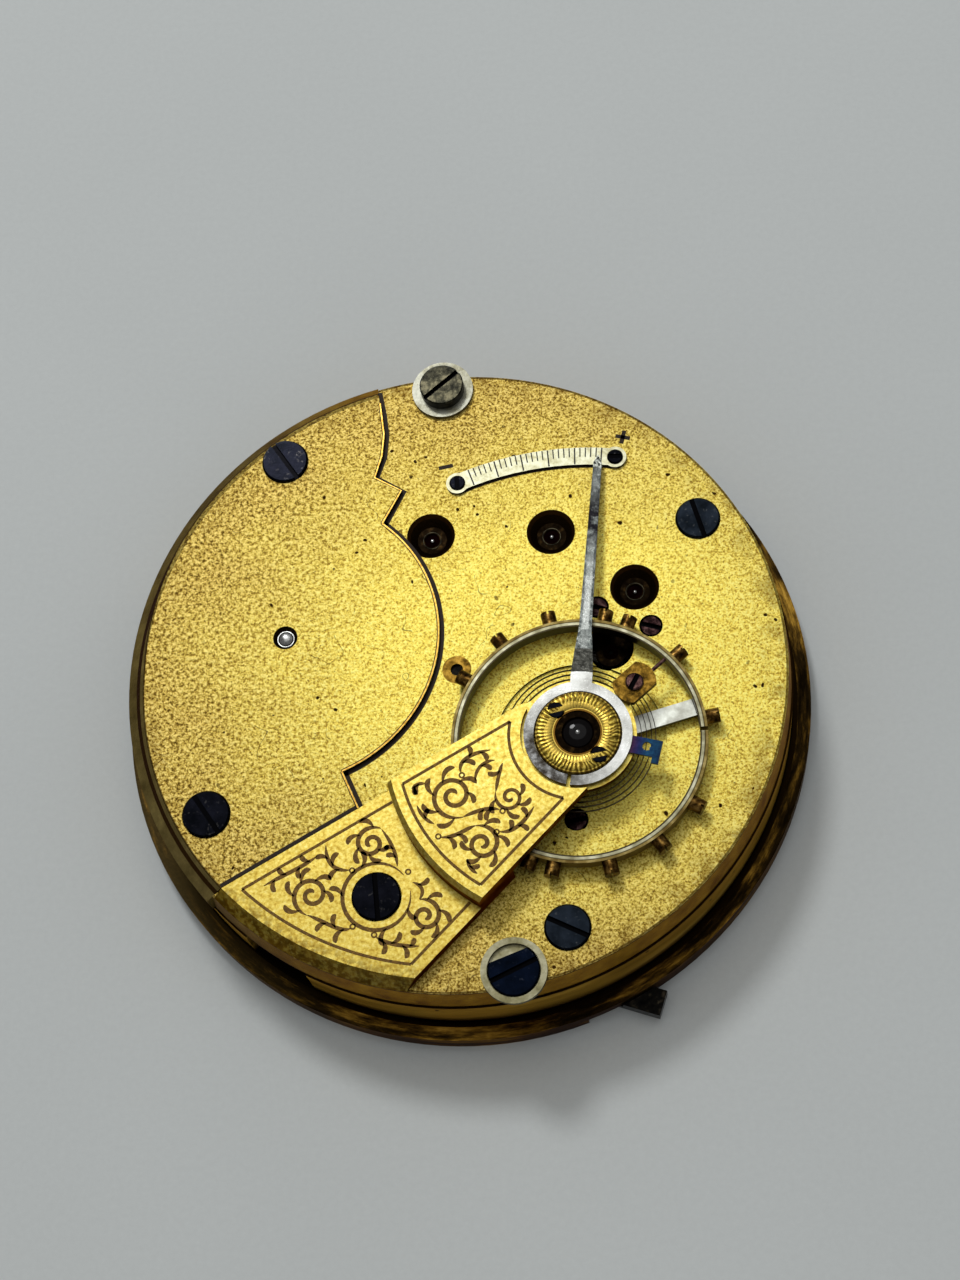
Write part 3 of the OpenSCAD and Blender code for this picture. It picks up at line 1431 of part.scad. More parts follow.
module keyless_screws() {
  crown_head_r = 1.6;
  click_head_r = 0.8;
  foot_head_r = 0.7;
  shoulder_h = keyless_t + 2 * run_gap + eps;
  blued() {
    keyless_screw(crown_p, crown_head_r, crown_bore_r - run_gap, shoulder_h, 20);
    keyless_screw(click_p, click_head_r, click_bore_r - run_gap, shoulder_h, 50);
    keyless_screw(click_foot_p, foot_head_r, small_shank_r, keyless_t, 80);
  }
}

module setting_lever() {
  nib_h = 1;
  nib_reach = 5;
  steel() difference() {
    union() {
      translate([0, 0, lever_z]) linear_extrude(lever_t) lever2d();
      difference() {
        at(lever_p, lever_z) rotate(heading(lever_p, lever_end_p)) translate([nib_reach, -lever_w / 2, 0])
          cube([norm(lever_end_p - lever_p) - nib_reach, lever_w, nib_h]);
        cylinder(r = lever_clear_r, h = lever_z + nib_h + over);
      }
    }
    disc_at(lever_p, lever_z - over, lever_bore_r, lever_t + 2 * over);
  }
}

module cannon_pinion() {
  steel() at(center_p) difference() {
    union() {
      translate([0, 0, seat_gap]) cylinder(r = cannon_pipe_r, h = z_floor - 2 * seat_gap);
      translate([0, 0, minute_z - seat_gap]) rotate(heading(center_p, minute_p) + 180 / cannon_n)
        linear_extrude(wheel_t + 2 * seat_gap) pinion_leaves2d(cannon_n, cannon_m);
    }
    cylinder(r = cannon_bore_r, h = z_floor + over);
  }
}

module minute_wheel() {
  pinion_z = 0.15;
  gilt() at(minute_p) difference() {
    union() {
      translate([0, 0, minute_z]) rotate(heading(minute_p, center_p))
        train_wheel(minute_n, cannon_m, wheel_t, minute_bore_r, 5, motion_rim);
      translate([0, 0, pinion_z]) rotate(heading(minute_p, center_p) + 180 / minute_pinion_n)
        linear_extrude(minute_z + seat_gap - pinion_z) pinion_leaves2d(minute_pinion_n, hour_m);
    }
    translate([0, 0, -over]) cylinder(r = minute_bore_r, h = z_floor + 2 * over);
  }
}

module hour_wheel() {
  gilt() at(center_p, hour_z) rotate(heading(center_p, minute_p))
    train_wheel(hour_n, hour_m, wheel_t, cannon_pipe_r + seat_gap, 4, motion_rim);
}

pillar_plate();
top_plate();
barrel_bridge();
balance_cock();
top_plate_screws();
barrel_bridge_screws();
cock_screw();
small_plate_screws();
case_screw();
case_washer();
half_head_case_screw();
cup_washer();
mainspring_barrel();
barrel_cover();
barrel_arbor();
mainspring();
center_arbor();
center_wheel();
center_bush();
third_arbor();
third_wheel();
fourth_arbor();
fourth_wheel();
escape_arbor();
escape_wheel();
train_jewels();
jewel_settings();
pallet_arbor();
pallets();
pallet_stones();
fork();
pallet_cock();
banking_pins();
potence();
balance_staff();
balance_wheel();
balance_screws();
roller();
impulse_pin();
hairspring();
collet();
hairspring_stud();
stud_pins();
balance_cap();
cap_screws();
balance_jewels();
regulator();
curb_arm();
index_scale();
index_screws();
ratchet_wheel();
crown_wheel();
winding_pinion();
click();
click_spring();
keyless_screws();
setting_lever();
cannon_pinion();
minute_wheel();
hour_wheel();
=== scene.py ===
"""The looks of a full plate pocket watch movement that lies on its rim with the back up.

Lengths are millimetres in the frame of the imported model, and MM turns them into metres.
Colours are the 0 to 255 values that they show as.
"""
from functools import partialmethod
import math

import bpy
from mathutils import Matrix, Vector


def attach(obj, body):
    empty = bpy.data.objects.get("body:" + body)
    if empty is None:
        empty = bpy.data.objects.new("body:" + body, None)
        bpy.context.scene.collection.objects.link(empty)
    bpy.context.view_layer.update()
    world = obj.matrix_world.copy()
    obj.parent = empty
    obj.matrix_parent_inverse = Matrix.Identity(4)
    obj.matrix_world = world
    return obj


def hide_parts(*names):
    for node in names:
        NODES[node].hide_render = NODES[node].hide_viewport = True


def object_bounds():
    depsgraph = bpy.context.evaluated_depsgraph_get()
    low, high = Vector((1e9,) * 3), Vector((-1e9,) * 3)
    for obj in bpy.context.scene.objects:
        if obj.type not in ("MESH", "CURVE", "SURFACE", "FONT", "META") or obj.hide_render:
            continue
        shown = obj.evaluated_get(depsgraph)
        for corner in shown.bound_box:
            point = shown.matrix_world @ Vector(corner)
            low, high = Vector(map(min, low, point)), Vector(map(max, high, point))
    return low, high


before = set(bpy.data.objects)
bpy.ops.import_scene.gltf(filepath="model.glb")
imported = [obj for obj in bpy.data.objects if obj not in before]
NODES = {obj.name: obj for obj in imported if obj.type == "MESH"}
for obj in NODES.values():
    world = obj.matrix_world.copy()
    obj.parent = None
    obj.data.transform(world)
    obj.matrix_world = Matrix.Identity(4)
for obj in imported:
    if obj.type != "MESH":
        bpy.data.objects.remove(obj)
cad_box = [[float(v) for v in corner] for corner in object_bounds()]
MM = 0.001

# Levels and places of the movement
Z_BAND = 5.3
Z_TOP = 7.7
Z_BRIDGE = 8.0
Z_FOOT = 8.6
Z_HEAD = 9.75
Z_TABLE = 10.15
# Tops of the train jewels, the floor of their sinks, the cap and the end stone
Z_JEWEL = 6.1 + 0.3 + 0.45
Z_SETTING = 6.1 + 1.6 - 0.75
Z_CAP = Z_HEAD + 0.55
Z_END_STONE = Z_HEAD + 0.1 + 0.22
BALANCE = (7.88, -5.15)
BARREL = (-11.1, 2.2)
THIRD = (-1.97, 9.3)
FOURTH = (5.83, 9.45)
ESCAPE = (11.24, 5.5)
PALLET = (9.7, 1.4)
CENTER = (0.0, 0.0)
# Flutes round the cap
CAP_FLUTES = 58
# Middle of the painted sheen on the gilding, and how much longer than wide that patch is
SHEEN_AT, SHEEN_LONG = (7.0, 0.0), 1.35
# Height of cut lines over their face
LIFT = 0.006
# Walls are part matt, since they mirror nothing but the floor
WALL_METALLIC = 0.78
GOLD_EDGE = (186, 150, 72)
# The painted sheen starts to fade and has faded fully at these distances from its middle
SHEEN_FADE_FROM, SHEEN_FADE_FULL = 12.0, 23.5
# Streaks round the rim: the radius where they keep their length, and how they lean with height
RIM_R = 22.0
STREAK_LEAN = 1.7
# Distances from the center: stain along the top plate's rim, the dark line there, its inner wall,
# and the foot and dark top line of the bridge's slope, which lies beyond SLOPE_X
STAIN_IN, STAIN_OUT = 18.9, 20.9
RIM_LINE_R = 20.78
INNER_WALL_R = 20.0
SLOPE_X = -5.9
SLOPE_R, SLOPE_LINE_R = 20.1, 20.14
# Sinks round the jewels and the barrel's arbor, painted dark as shade from just under their face
SINK_R, PALLET_SINK_R, OIL_SINK_R = 1.585, 1.52, 0.83
UNDER = 0.012
# The pillar plate's levels and radii: groove, top of the flange, line on the flange, edge of the dial side
Z_GROOVE, Z_FLANGE = 1.78, 1.86
FLANGE_LINE_R = 21.35
DIAL_R = 20.6


def srgb(r, g, b):
    """A colour as the shader's sockets take it."""
    def linear(c):
        c /= 255
        return c / 12.92 if c <= 0.04045 else ((c + 0.055) / 1.055) ** 2.4
    return (linear(r), linear(g), linear(b), 1.0)


class Shader:
    """A node material under construction."""

    def __init__(self, name, metallic=1.0, specular=0.5, edge=None):
        self.material = bpy.data.materials.new(name)
        self.material.use_nodes = True
        self.tree = self.material.node_tree
        self.tree.nodes.clear()
        output = self.node("ShaderNodeOutputMaterial")
        self.bsdf = self.node("ShaderNodeBsdfPrincipled")
        self.tree.links.new(self.bsdf.outputs[0], output.inputs[0])
        self.bsdf.inputs["Metallic"].default_value = metallic
        self.bsdf.inputs["Specular IOR Level"].default_value = specular
        if edge:
            self.bsdf.inputs["Specular Tint"].default_value = srgb(*edge)
        self.coords = self.node("ShaderNodeTexCoord").outputs["Object"]

    def fill(self, socket, value):
        """Puts a link, a number or a colour into a socket."""
        if isinstance(value, bpy.types.NodeSocket):
            self.tree.links.new(value, socket)
        elif value is not None:
            socket.default_value = srgb(*value) if socket.type == "RGBA" else value

    def node(self, kind, *values, **settings):
        """Adds a node; values fill its inputs in turn."""
        node = self.tree.nodes.new(kind)
        for key, value in settings.items():
            setattr(node, key, value)
        for socket, value in zip(node.inputs, values):
            self.fill(socket, value)
        return node

    def link(self, source, socket_name):
        self.tree.links.new(source, self.bsdf.inputs[socket_name])

    def calc(self, operation, *values):
        return self.node("ShaderNodeMath", *values, operation=operation).outputs[0]

    add = partialmethod(calc, "ADD")
    sub = partialmethod(calc, "SUBTRACT")
    mul = partialmethod(calc, "MULTIPLY")
    div = partialmethod(calc, "DIVIDE")
    below = partialmethod(calc, "LESS_THAN")
    above = partialmethod(calc, "GREATER_THAN")

    def inverse(self, a):
        return self.sub(1.0, a)

    def clamp01(self, value, low, high):
        """value mapped from low..high to 0..1 and held there."""
        return self.node("ShaderNodeMapRange", value, low, high, 0.0, 1.0).outputs[0]

    def texture(self, kind, size, vector, **levels):
        """The outputs of a texture whose features are about size millimetres wide."""
        node = self.node(kind, vector or self.coords)
        node.inputs["Scale"].default_value = 1 / (size * MM)
        for socket, value in levels.items():
            node.inputs[socket].default_value = value
        return node.outputs

    def noise(self, size, detail=3.0, roughness=0.55, vector=None):
        return self.texture("ShaderNodeTexNoise", size, vector, Detail=detail, Roughness=roughness)["Fac"]

    def cells(self, size, vector=None):
        """Distance to the nearest of scattered points, about size millimetres apart."""
        return self.texture("ShaderNodeTexVoronoi", size, vector)["Distance"]

    def ramp(self, value, stops):
        """A colour for each value; stops are (place, colour)."""
        node = self.node("ShaderNodeValToRGB", value)
        elements = node.color_ramp.elements
        while len(elements) < len(stops):
            elements.new(0.5)
        for element, (place, color) in zip(elements, stops):
            element.position = place
            element.color = srgb(*color)
        return node.outputs["Color"]

    def mix(self, factor, a, b, blend="MIX"):
        """Colour a where the factor is 0, b where it is 1."""
        node = self.node("ShaderNodeMix", data_type="RGBA", blend_type=blend)
        for i, value in ((0, factor), (6, a), (7, b)):
            self.fill(node.inputs[i], value)
        return node.outputs[2]

    def blend(self, factor, a, b):
        """A number between two numbers."""
        return self.add(a, self.mul(factor, self.sub(b, a)))

    def axes(self):
        """The three coordinates in metres."""
        return self.node("ShaderNodeSeparateXYZ", self.coords).outputs

    def height(self):
        return self.div(self.axes()[2], MM)

    def offset(self, place):
        """X and Y in metres from a place."""
        x, y, _ = self.axes()
        return self.sub(x, place[0] * MM), self.sub(y, place[1] * MM)

    def span(self, dx, dy):
        """Length in millimetres of a step given in metres."""
        return self.div(self.calc("SQRT", self.add(self.mul(dx, dx), self.mul(dy, dy))), MM)

    def radius(self, place):
        """Distance in millimetres from an upright axis at a place."""
        return self.span(*self.offset(place))

    def angle(self, place):
        """Direction round an upright axis at a place, in radians."""
        dx, dy = self.offset(place)
        return self.calc("ARCTAN2", dy, dx)

    def near(self, value, center, half):
        """1 within half of a value."""
        return self.below(self.calc("ABSOLUTE", self.sub(value, center)), half)

    def slots(self, color, levels):
        """Black painted shade on the floors of the screw slots, given by their heights."""
        for level in levels:
            color = self.mix(self.near(self.height(), level, 0.03), color, (5, 5, 6))
        return color

    def cup(self, place, r, top):
        """1 inside a round sink: within radius r of an upright axis and below a height."""
        inside = self.below(self.radius(place), r)
        return self.mul(inside, self.below(self.height(), top))

    def shifted(self, size, amount):
        """Coordinates pushed about by a noise, so that round patterns turn ragged."""
        color = self.texture("ShaderNodeTexNoise", size, None, Detail=3.0)["Color"]
        push = self.node("ShaderNodeVectorMath", color, (0.5, 0.5, 0.5), operation="SUBTRACT").outputs[0]
        push = self.node("ShaderNodeVectorMath", push, operation="SCALE")
        push.inputs["Scale"].default_value = amount * MM
        return self.node("ShaderNodeVectorMath", self.coords, push.outputs[0], operation="ADD").outputs[0]

    def around(self, stretch):
        """Coordinates drawn out round the center, for streaks that follow the rim."""
        x, y, z = self.axes()
        r = self.mul(self.radius(CENTER), MM)
        ring = RIM_R * MM / stretch
        across = self.add(r, self.mul(z, STREAK_LEAN))
        parts = (self.mul(self.div(x, r), ring), self.mul(self.div(y, r), ring), across)
        return self.node("ShaderNodeCombineXYZ", *parts).outputs[0]

    def painted_sheen_falloff(self):
        """Painted falloff of the sheen: 0 in its bright middle, 1 towards the far, near and left rims."""
        dx, dy = self.offset(SHEEN_AT)
        away = self.span(self.mul(dx, 1 / SHEEN_LONG), dy)
        away = self.add(away, self.mul(self.noise(5.0, 4.0, 0.6), 9.0))
        return self.clamp01(away, SHEEN_FADE_FROM, SHEEN_FADE_FULL)

    def facing_up(self, low=0.5, high=0.8):
        """1 on level faces, 0 on upright ones."""
        normal = self.node("ShaderNodeNewGeometry").outputs["Normal"]
        z = self.node("ShaderNodeSeparateXYZ", normal).outputs[2]
        return self.clamp01(self.calc("ABSOLUTE", z), low, high)

    def sides(self, color, share, tone, low=0.5, high=0.8):
        """A colour with part of another, darker tone down the upright faces, as painted shade."""
        upright = self.inverse(self.facing_up(low, high))
        return self.mix(self.mul(upright, share), color, tone)

    def bump(self, value, height_mm, strength=1.0):
        node = self.node("ShaderNodeBump")
        self.fill(node.inputs["Height"], value)
        node.inputs["Strength"].default_value = strength
        node.inputs["Distance"].default_value = height_mm * MM
        self.link(node.outputs[0], "Normal")

    def rough(self, value, low, high):
        self.link(self.node("ShaderNodeMapRange", value, 0.0, 1.0, low, high).outputs[0], "Roughness")

    def finished(self, color, rough, bump=None):
        """The material, with its colour and what rough and bump take."""
        self.link(color, "Base Color")
        self.rough(*rough)
        if bump:
            self.bump(*bump)
        return self.material


def frosted_gilt():
    """Grainy fire gilding: bright on level faces and brown down the walls, with painted shade in the
    hollows and a painted sheen that fades towards the rims.
    """
    s = Shader("frosted_gilt", edge=GOLD_EDGE)
    leftward = s.clamp01(s.div(s.axes()[0], MM), 4.0, -9.0)
    fine = s.noise(0.15, 4.0, 0.72)
    coarse = s.noise(0.25, 5.0, 0.72)
    grain = s.blend(s.mul(leftward, 0.6), fine, coarse)
    grain = s.add(0.5, s.mul(s.sub(grain, 0.5), s.blend(leftward, 1.1, 1.7)))
    lit_gold = s.ramp(grain, [(0.38, (176, 144, 52)), (0.45, (232, 206, 88)), (0.52, (250, 232, 108)),
                           (0.62, (255, 248, 146))])
    dim_gold = s.ramp(grain, [(0.38, (88, 66, 24)), (0.45, (158, 130, 54)), (0.52, (206, 178, 88)),
                          (0.62, (240, 217, 128))])
    # Painted sheen: the lighter gold in the bright middle fades to the darker gold towards the rims
    gold = s.mix(s.painted_sheen_falloff(), lit_gold, dim_gold)
    r = s.radius(CENTER)
    # Ragged dark pits in loose groups, specks and hair lines
    pits = s.below(s.cells(1.25, s.shifted(0.5, 0.35)), 0.10)
    groups = s.clamp01(s.noise(4.5, 2.0), 0.46, 0.52)
    specks = s.below(s.cells(0.62, s.shifted(0.3, 0.2)), 0.085)
    gold = s.mix(s.mul(pits, groups), gold, (46, 28, 8))
    gold = s.mix(s.mul(specks, 0.6), gold, (90, 60, 18))
    hair = s.near(s.noise(3.4, 2.0, 0.4), 0.5, 0.0022)
    hair = s.mul(hair, s.above(s.noise(1.7, 1.0), 0.58))
    gold = s.mix(s.mul(hair, 0.7), gold, (70, 46, 14))
    # Tarnish along the rim
    stain = s.mul(s.clamp01(r, STAIN_IN, STAIN_OUT), s.clamp01(s.noise(1.5, 5.0, 0.7), 0.44, 0.6))
    gold = s.mix(s.mul(stain, 0.6), gold, (96, 66, 22))
    gold = s.mix(s.mul(s.near(r, RIM_LINE_R, 0.07), 0.75), gold, (48, 30, 8))
    # Smooth walls outside, with the seam over the band
    wall_tone = s.noise(1.6, 4.0, 0.6)
    wall = s.ramp(wall_tone, [(0.3, (128, 92, 26)), (0.55, (176, 134, 48)), (0.75, (206, 164, 66))])
    olive = s.ramp(wall_tone, [(0.3, (92, 80, 44)), (0.55, (126, 110, 66)), (0.75, (156, 138, 84))])
    wall = s.mix(s.clamp01(s.axes()[0], -0.006, -0.014), wall, olive)
    wall = s.mix(s.near(s.height(), Z_BAND + 0.05, 0.09), wall, (34, 20, 5))
    wall = s.mix(s.near(s.height(), Z_TOP - 0.02, 0.1), wall, (52, 33, 10))
    # Painted shade: walls inside the inner wall radius are dark
    inside = s.below(r, INNER_WALL_R)
    wall = s.mix(inside, wall, (34, 22, 8))
    level = s.facing_up(0.82, 0.95)
    gold = s.mix(level, wall, gold)
    # The bridge's sloping edge is bright at its foot and has a dark line along its top
    over_bridge = s.below(s.axes()[0], SLOPE_X * MM)
    line_r = s.add(SLOPE_LINE_R, s.mul(s.clamp01(s.axes()[1], 0.0, 0.009), 0.5))
    line = s.near(r, line_r, 0.06)
    slope = s.mul(over_bridge, s.mul(s.above(r, SLOPE_R), s.below(r, line_r)))
    gold = s.mix(slope, gold, dim_gold)
    gold = s.mix(s.mul(s.mul(line, over_bridge), 0.85), gold, (44, 28, 8))
    # Painted shade: the sinks for the jewels, the arbor's oil sink and everything deep inside are coloured
    # dark
    for place in (THIRD, FOURTH, ESCAPE):
        gold = s.mix(s.cup(place, SINK_R, Z_TOP - UNDER), gold, (58, 36, 12))
    gold = s.mix(s.cup(BARREL, OIL_SINK_R, Z_BRIDGE - UNDER), gold, (22, 14, 6))
    gold = s.mix(s.cup(PALLET, PALLET_SINK_R, Z_TOP - UNDER), gold, (26, 17, 7))
    deep = s.mul(s.below(s.height(), Z_TOP - 0.26), inside)
    gold = s.mix(s.mul(deep, 0.9), gold, (26, 17, 7))
    s.link(gold, "Base Color")
    smooth = s.mul(s.inverse(level), 0.2)
    s.link(s.sub(s.add(0.42, s.mul(grain, 0.2)), smooth), "Roughness")
    s.link(s.blend(level, WALL_METALLIC, 1.0), "Metallic")
    pebbles = s.cells(0.22, s.shifted(0.3, 0.12))
    s.bump(s.add(grain, s.mul(pebbles, s.blend(leftward, 0.25, 0.8))), 0.028)
    return s.material


def pillar_gilt():
    """The pillar plate: smooth brown gold band that darkens towards the flange as painted shade, a groove
    painted dark as shade, and a flange blotched with tarnish.
    """
    s = Shader("pillar_gilt", edge=GOLD_EDGE)
    r = s.radius(CENTER)
    z = s.height()
    band = s.ramp(s.noise(2.2, 4.0, 0.6, s.around(5.0)),
                  [(0.32, (160, 122, 44)), (0.52, (208, 164, 68)), (0.7, (234, 194, 92))])
    flecks = s.below(s.cells(1.5, s.shifted(0.5, 0.4)), 0.11)
    band = s.mix(s.mul(flecks, 0.85), band, (24, 14, 4))
    # Painted shade: the band darkens towards the flange below it
    band = s.mix(s.clamp01(z, 2.9, 1.9), band, (70, 44, 12))
    band = s.mix(s.near(z, Z_BAND, 0.12), band, (34, 20, 5))
    blotch = s.noise(0.8, 6.0, 0.7, s.around(6.0))
    tone = s.add(s.mul(blotch, 0.75), s.mul(s.noise(6.0, 3.0, 0.6), 0.25))
    flange = s.ramp(tone, [(0.42, (14, 9, 3)), (0.49, (34, 24, 8)), (0.54, (74, 54, 18)),
                           (0.60, (128, 98, 36)), (0.68, (188, 150, 64))])
    flange = s.mix(s.near(r, FLANGE_LINE_R, 0.22), flange, (22, 14, 4))
    flange = s.mix(s.mul(s.clamp01(s.axes()[0], -0.008, -0.018), 0.3), flange, (76, 64, 36))
    color = s.mix(s.above(z, Z_FLANGE), flange, band)
    # Painted shade in the groove
    groove = s.mul(s.near(z, Z_GROOVE, 0.1), s.below(r, 21.3))
    color = s.mix(groove, color, (14, 9, 3))
    # The dial side is finely grained, and the inside is painted dark as shade
    dial = s.ramp(s.noise(0.3, 4.0, 0.65),
                  [(0.38, (160, 120, 48)), (0.5, (206, 166, 78)), (0.64, (232, 198, 108))])
    color = s.mix(s.mul(s.below(z, 1.5), s.below(r, DIAL_R)), color, dial)
    color = s.mix(s.mul(s.above(z, 1.5), s.below(r, 20.4)), color, (24, 16, 6))
    s.link(s.blend(s.facing_up(), WALL_METALLIC, 1.0), "Metallic")
    return s.finished(color, (tone, 0.26, 0.5), (s.noise(0.25, 4.0, 0.7), 0.012))


def cock_gilt():
    """The cock: smooth light gold, mottled, with worn brown rims, a painted sheen that fades away from the
    bright middle, and painted shade on its walls under the head.
    """
    s = Shader("cock_gilt", edge=GOLD_EDGE)
    grain = s.noise(0.24, 4.0, 0.62)
    gold = s.ramp(grain, [(0.34, (186, 156, 62)), (0.46, (216, 191, 88)), (0.56, (232, 212, 108)),
                          (0.7, (247, 232, 144))])
    cloudy = s.clamp01(s.noise(1.3, 4.0, 0.6), 0.5, 0.68)
    gold = s.mix(s.mul(cloudy, 0.4), gold, s.mix(1.0, gold, (226, 216, 184), "MULTIPLY"))
    # Painted sheen: the gold fades away from the bright middle towards the rims
    gold = s.mix(s.mul(s.painted_sheen_falloff(), 0.8), gold, s.mix(1.0, gold, (224, 220, 214), "MULTIPLY"))
    spots = s.below(s.cells(0.8, s.shifted(0.4, 0.3)), 0.09)
    gold = s.mix(s.mul(spots, 0.55), gold, (150, 108, 36))
    edge = s.clamp01(s.radius(CENTER), 19.2, 20.5)
    worn = s.mul(edge, s.clamp01(s.noise(0.55, 5.0, 0.7), 0.44, 0.56))
    gold = s.mix(s.mul(worn, 0.85), gold, (84, 56, 16))
    side = s.ramp(s.noise(0.9, 4.0), [(0.32, (92, 62, 16)), (0.52, (146, 104, 34)), (0.7, (190, 146, 60))])
    # Painted shade on the walls under the cock's head
    shade_under_head = s.below(s.height(), Z_TOP + 1.5)
    side = s.mix(s.mul(shade_under_head, 0.6), side, (40, 26, 8))
    return s.finished(s.mix(s.facing_up(), side, gold), (grain, 0.34, 0.5), (s.noise(0.5), 0.012))


def toned(name, grain, stops, low, high, relief=None, height=0.0, metallic=1.0, slots=()):
    """A surface of a few shades.

    One noise, given as (size, detail, roughness), makes its tone and its gloss from low to high. Its
    relief is another noise, or the same one where relief is None."""
    s = Shader(name, metallic=metallic)
    tone = s.noise(*grain)
    bump = (s.noise(*relief) if relief else tone, height) if height else None
    return s.finished(s.slots(s.ramp(tone, stops), slots), (tone, low, high), bump)


def mottled(name, dark, mid, light, size=0.35, low=0.3, high=0.55, slots=()):
    """A toned metal of three shades."""
    stops = [(0.35, dark), (0.5, mid), (0.66, light)]
    return toned(name, (size, 4.0, 0.65), stops, low, high, (size / 3,), 0.01, slots=slots)


def engraved(name, dark, mid, light):
    """The floor of a cut line: brown with gold showing at places."""
    stops = [(0.35, dark), (0.55, mid), (0.76, light)]
    return toned(name, (0.2, 4.0, 0.7), stops, 0.45, 0.7, None, 0.01, metallic=0.5)


def sunburst_gilt():
    """The cap: brown gold with uneven radial strokes and a bright inner lip."""
    s = Shader("sunburst_gilt")
    r = s.radius(BALANCE)
    wander = s.mul(s.noise(0.8), 17.0)
    strokes = s.calc("SINE", s.add(s.mul(s.angle(BALANCE), CAP_FLUTES), wander))
    field = s.ramp(s.clamp01(strokes, -1.0, 1.0), [(0.05, (74, 60, 18)), (0.35, (114, 95, 32)),
                                                   (0.72, (152, 130, 50)), (0.95, (194, 172, 80))])
    smudge = s.clamp01(s.noise(0.5, 4.0, 0.65), 0.46, 0.62)
    field = s.mix(s.mul(smudge, 0.45), field, (92, 64, 20))
    # Strokes start at uneven radii, past the smooth lip
    start = s.add(1.72, s.mul(s.noise(0.35, 2.0), 0.5))
    field = s.mix(s.below(r, start), field, (178, 152, 68))
    field = s.mix(s.below(r, 1.5), field, (96, 68, 24))
    field = s.mix(s.mul(s.clamp01(r, 2.5, 2.6), 0.7), field, (60, 42, 14))
    return s.finished(field, (s.noise(0.12), 0.2, 0.4), (s.noise(0.12), 0.006))


def bright_steel(name, light, dark, size=0.5, low=0.16, high=0.34):
    """Polished steel, a little uneven."""
    s = Shader(name)
    tone = s.noise(size, 5.0, 0.65)
    color = s.ramp(tone, [(0.36, dark), (0.6, light)])
    return s.finished(color, (s.noise(size / 3), low, high), (s.noise(0.08, 2.0), 0.003))


def blued(name, deep, lit, worn, slots):
    """Heat blued steel, nearly black where it reflects nothing, with faint wear and grey rubbing."""
    s = Shader(name)
    tone = s.noise(1.1, 4.0, 0.6)
    color = s.ramp(tone, [(0.34, deep), (0.66, lit)])
    rub = s.clamp01(s.noise(0.35, 5.0, 0.7), 0.6, 0.72)
    color = s.mix(s.mul(rub, 0.5), color, worn)
    # Painted shade: darker down the upright faces
    color = s.sides(color, 0.5, (8, 8, 12))
    return s.finished(s.slots(color, slots), (tone, 0.14, 0.34), (s.noise(0.3), 0.004))


def curb_steel():
    """The curb arm: bright blue at its end, purple and brown towards the ring."""
    s = Shader("curb_steel")
    r = s.radius(BALANCE)
    tint = s.ramp(s.clamp01(r, 3.3, 5.3), [(0.0, (62, 34, 50)), (0.25, (34, 36, 74)), (0.55, (28, 64, 92)),
                                           (0.85, (26, 54, 76)), (1.0, (20, 30, 48))])
    grain = s.noise(0.22, 4.0, 0.7)
    color = s.mix(s.mul(s.clamp01(grain, 0.42, 0.62), 0.6), tint, (14, 20, 46))
    return s.finished(color, (grain, 0.2, 0.42), (grain, 0.01))


# The balance rim: where brass meets steel, the steel's inner edge, and the arms' ends
BRASS_R, STEEL_R, ARM_R = 7.76, 7.56, 7.44


def balance_metal():
    """The rim's two metals, brass outside and steel inside, inner walls painted near black as shade, and a
    silvery arm.
    """
    s = Shader("balance_metal")
    r = s.radius(BALANCE)
    grain = s.noise(0.9, 4.0, 0.6)
    brass = s.ramp(grain, [(0.36, (84, 68, 34)), (0.52, (114, 98, 54)), (0.68, (152, 136, 88))])
    steel = s.ramp(grain, [(0.36, (116, 112, 86)), (0.52, (150, 147, 120)), (0.68, (186, 183, 158))])
    arms = s.ramp(grain, [(0.36, (160, 160, 149)), (0.52, (192, 194, 183)), (0.68, (220, 223, 214))])
    tone = s.mix(s.above(r, BRASS_R), steel, brass)
    tone = s.mix(s.mul(s.near(r, BRASS_R, 0.035), 0.85), tone, (50, 40, 20))
    tone = s.mix(s.below(r, STEEL_R), tone, (56, 50, 36))
    tone = s.mix(s.below(r, ARM_R), tone, arms)
    level = s.facing_up()
    inner = s.below(r, 7.6)
    # Painted shade: the rim's inner walls are near black
    wall = s.mix(inner, (96, 74, 34), (10, 8, 5))
    s.link(s.calc("MAXIMUM", level, s.inverse(inner)), "Metallic")
    return s.finished(s.mix(level, wall, tone), (grain, 0.24, 0.42), (grain, 0.005))


def worn_nickel(name, dark, mid, light):
    """The case screws' washers: smooth pale faces, yellowed and scuffed in places."""
    s = Shader(name)
    tone = s.noise(1.3, 5.0, 0.6)
    color = s.ramp(tone, [(0.34, dark), (0.46, mid), (0.6, light)])
    scuff = s.clamp01(s.noise(0.3, 4.0, 0.7), 0.58, 0.7)
    color = s.mix(s.mul(scuff, 0.4), color, (84, 76, 50))
    # Painted shade: darker down the upright faces
    color = s.sides(color, 0.5, (70, 62, 36))
    return s.finished(color, (s.noise(0.2), 0.36, 0.54), (s.noise(0.3), 0.012))


def index_silver():
    """The index plate: silvered, a little cream, with painted shade down its edge."""
    s = Shader("index_silver", metallic=0.8)
    tone = s.noise(0.45, 5.0, 0.65)
    color = s.ramp(tone, [(0.34, (158, 153, 118)), (0.5, (192, 190, 158)), (0.66, (212, 212, 186))])
    # Painted shade down the upright edge
    color = s.mix(s.inverse(s.facing_up()), color, (30, 20, 10))
    return s.finished(color, (tone, 0.34, 0.5), (s.noise(0.12, 2.0), 0.004))


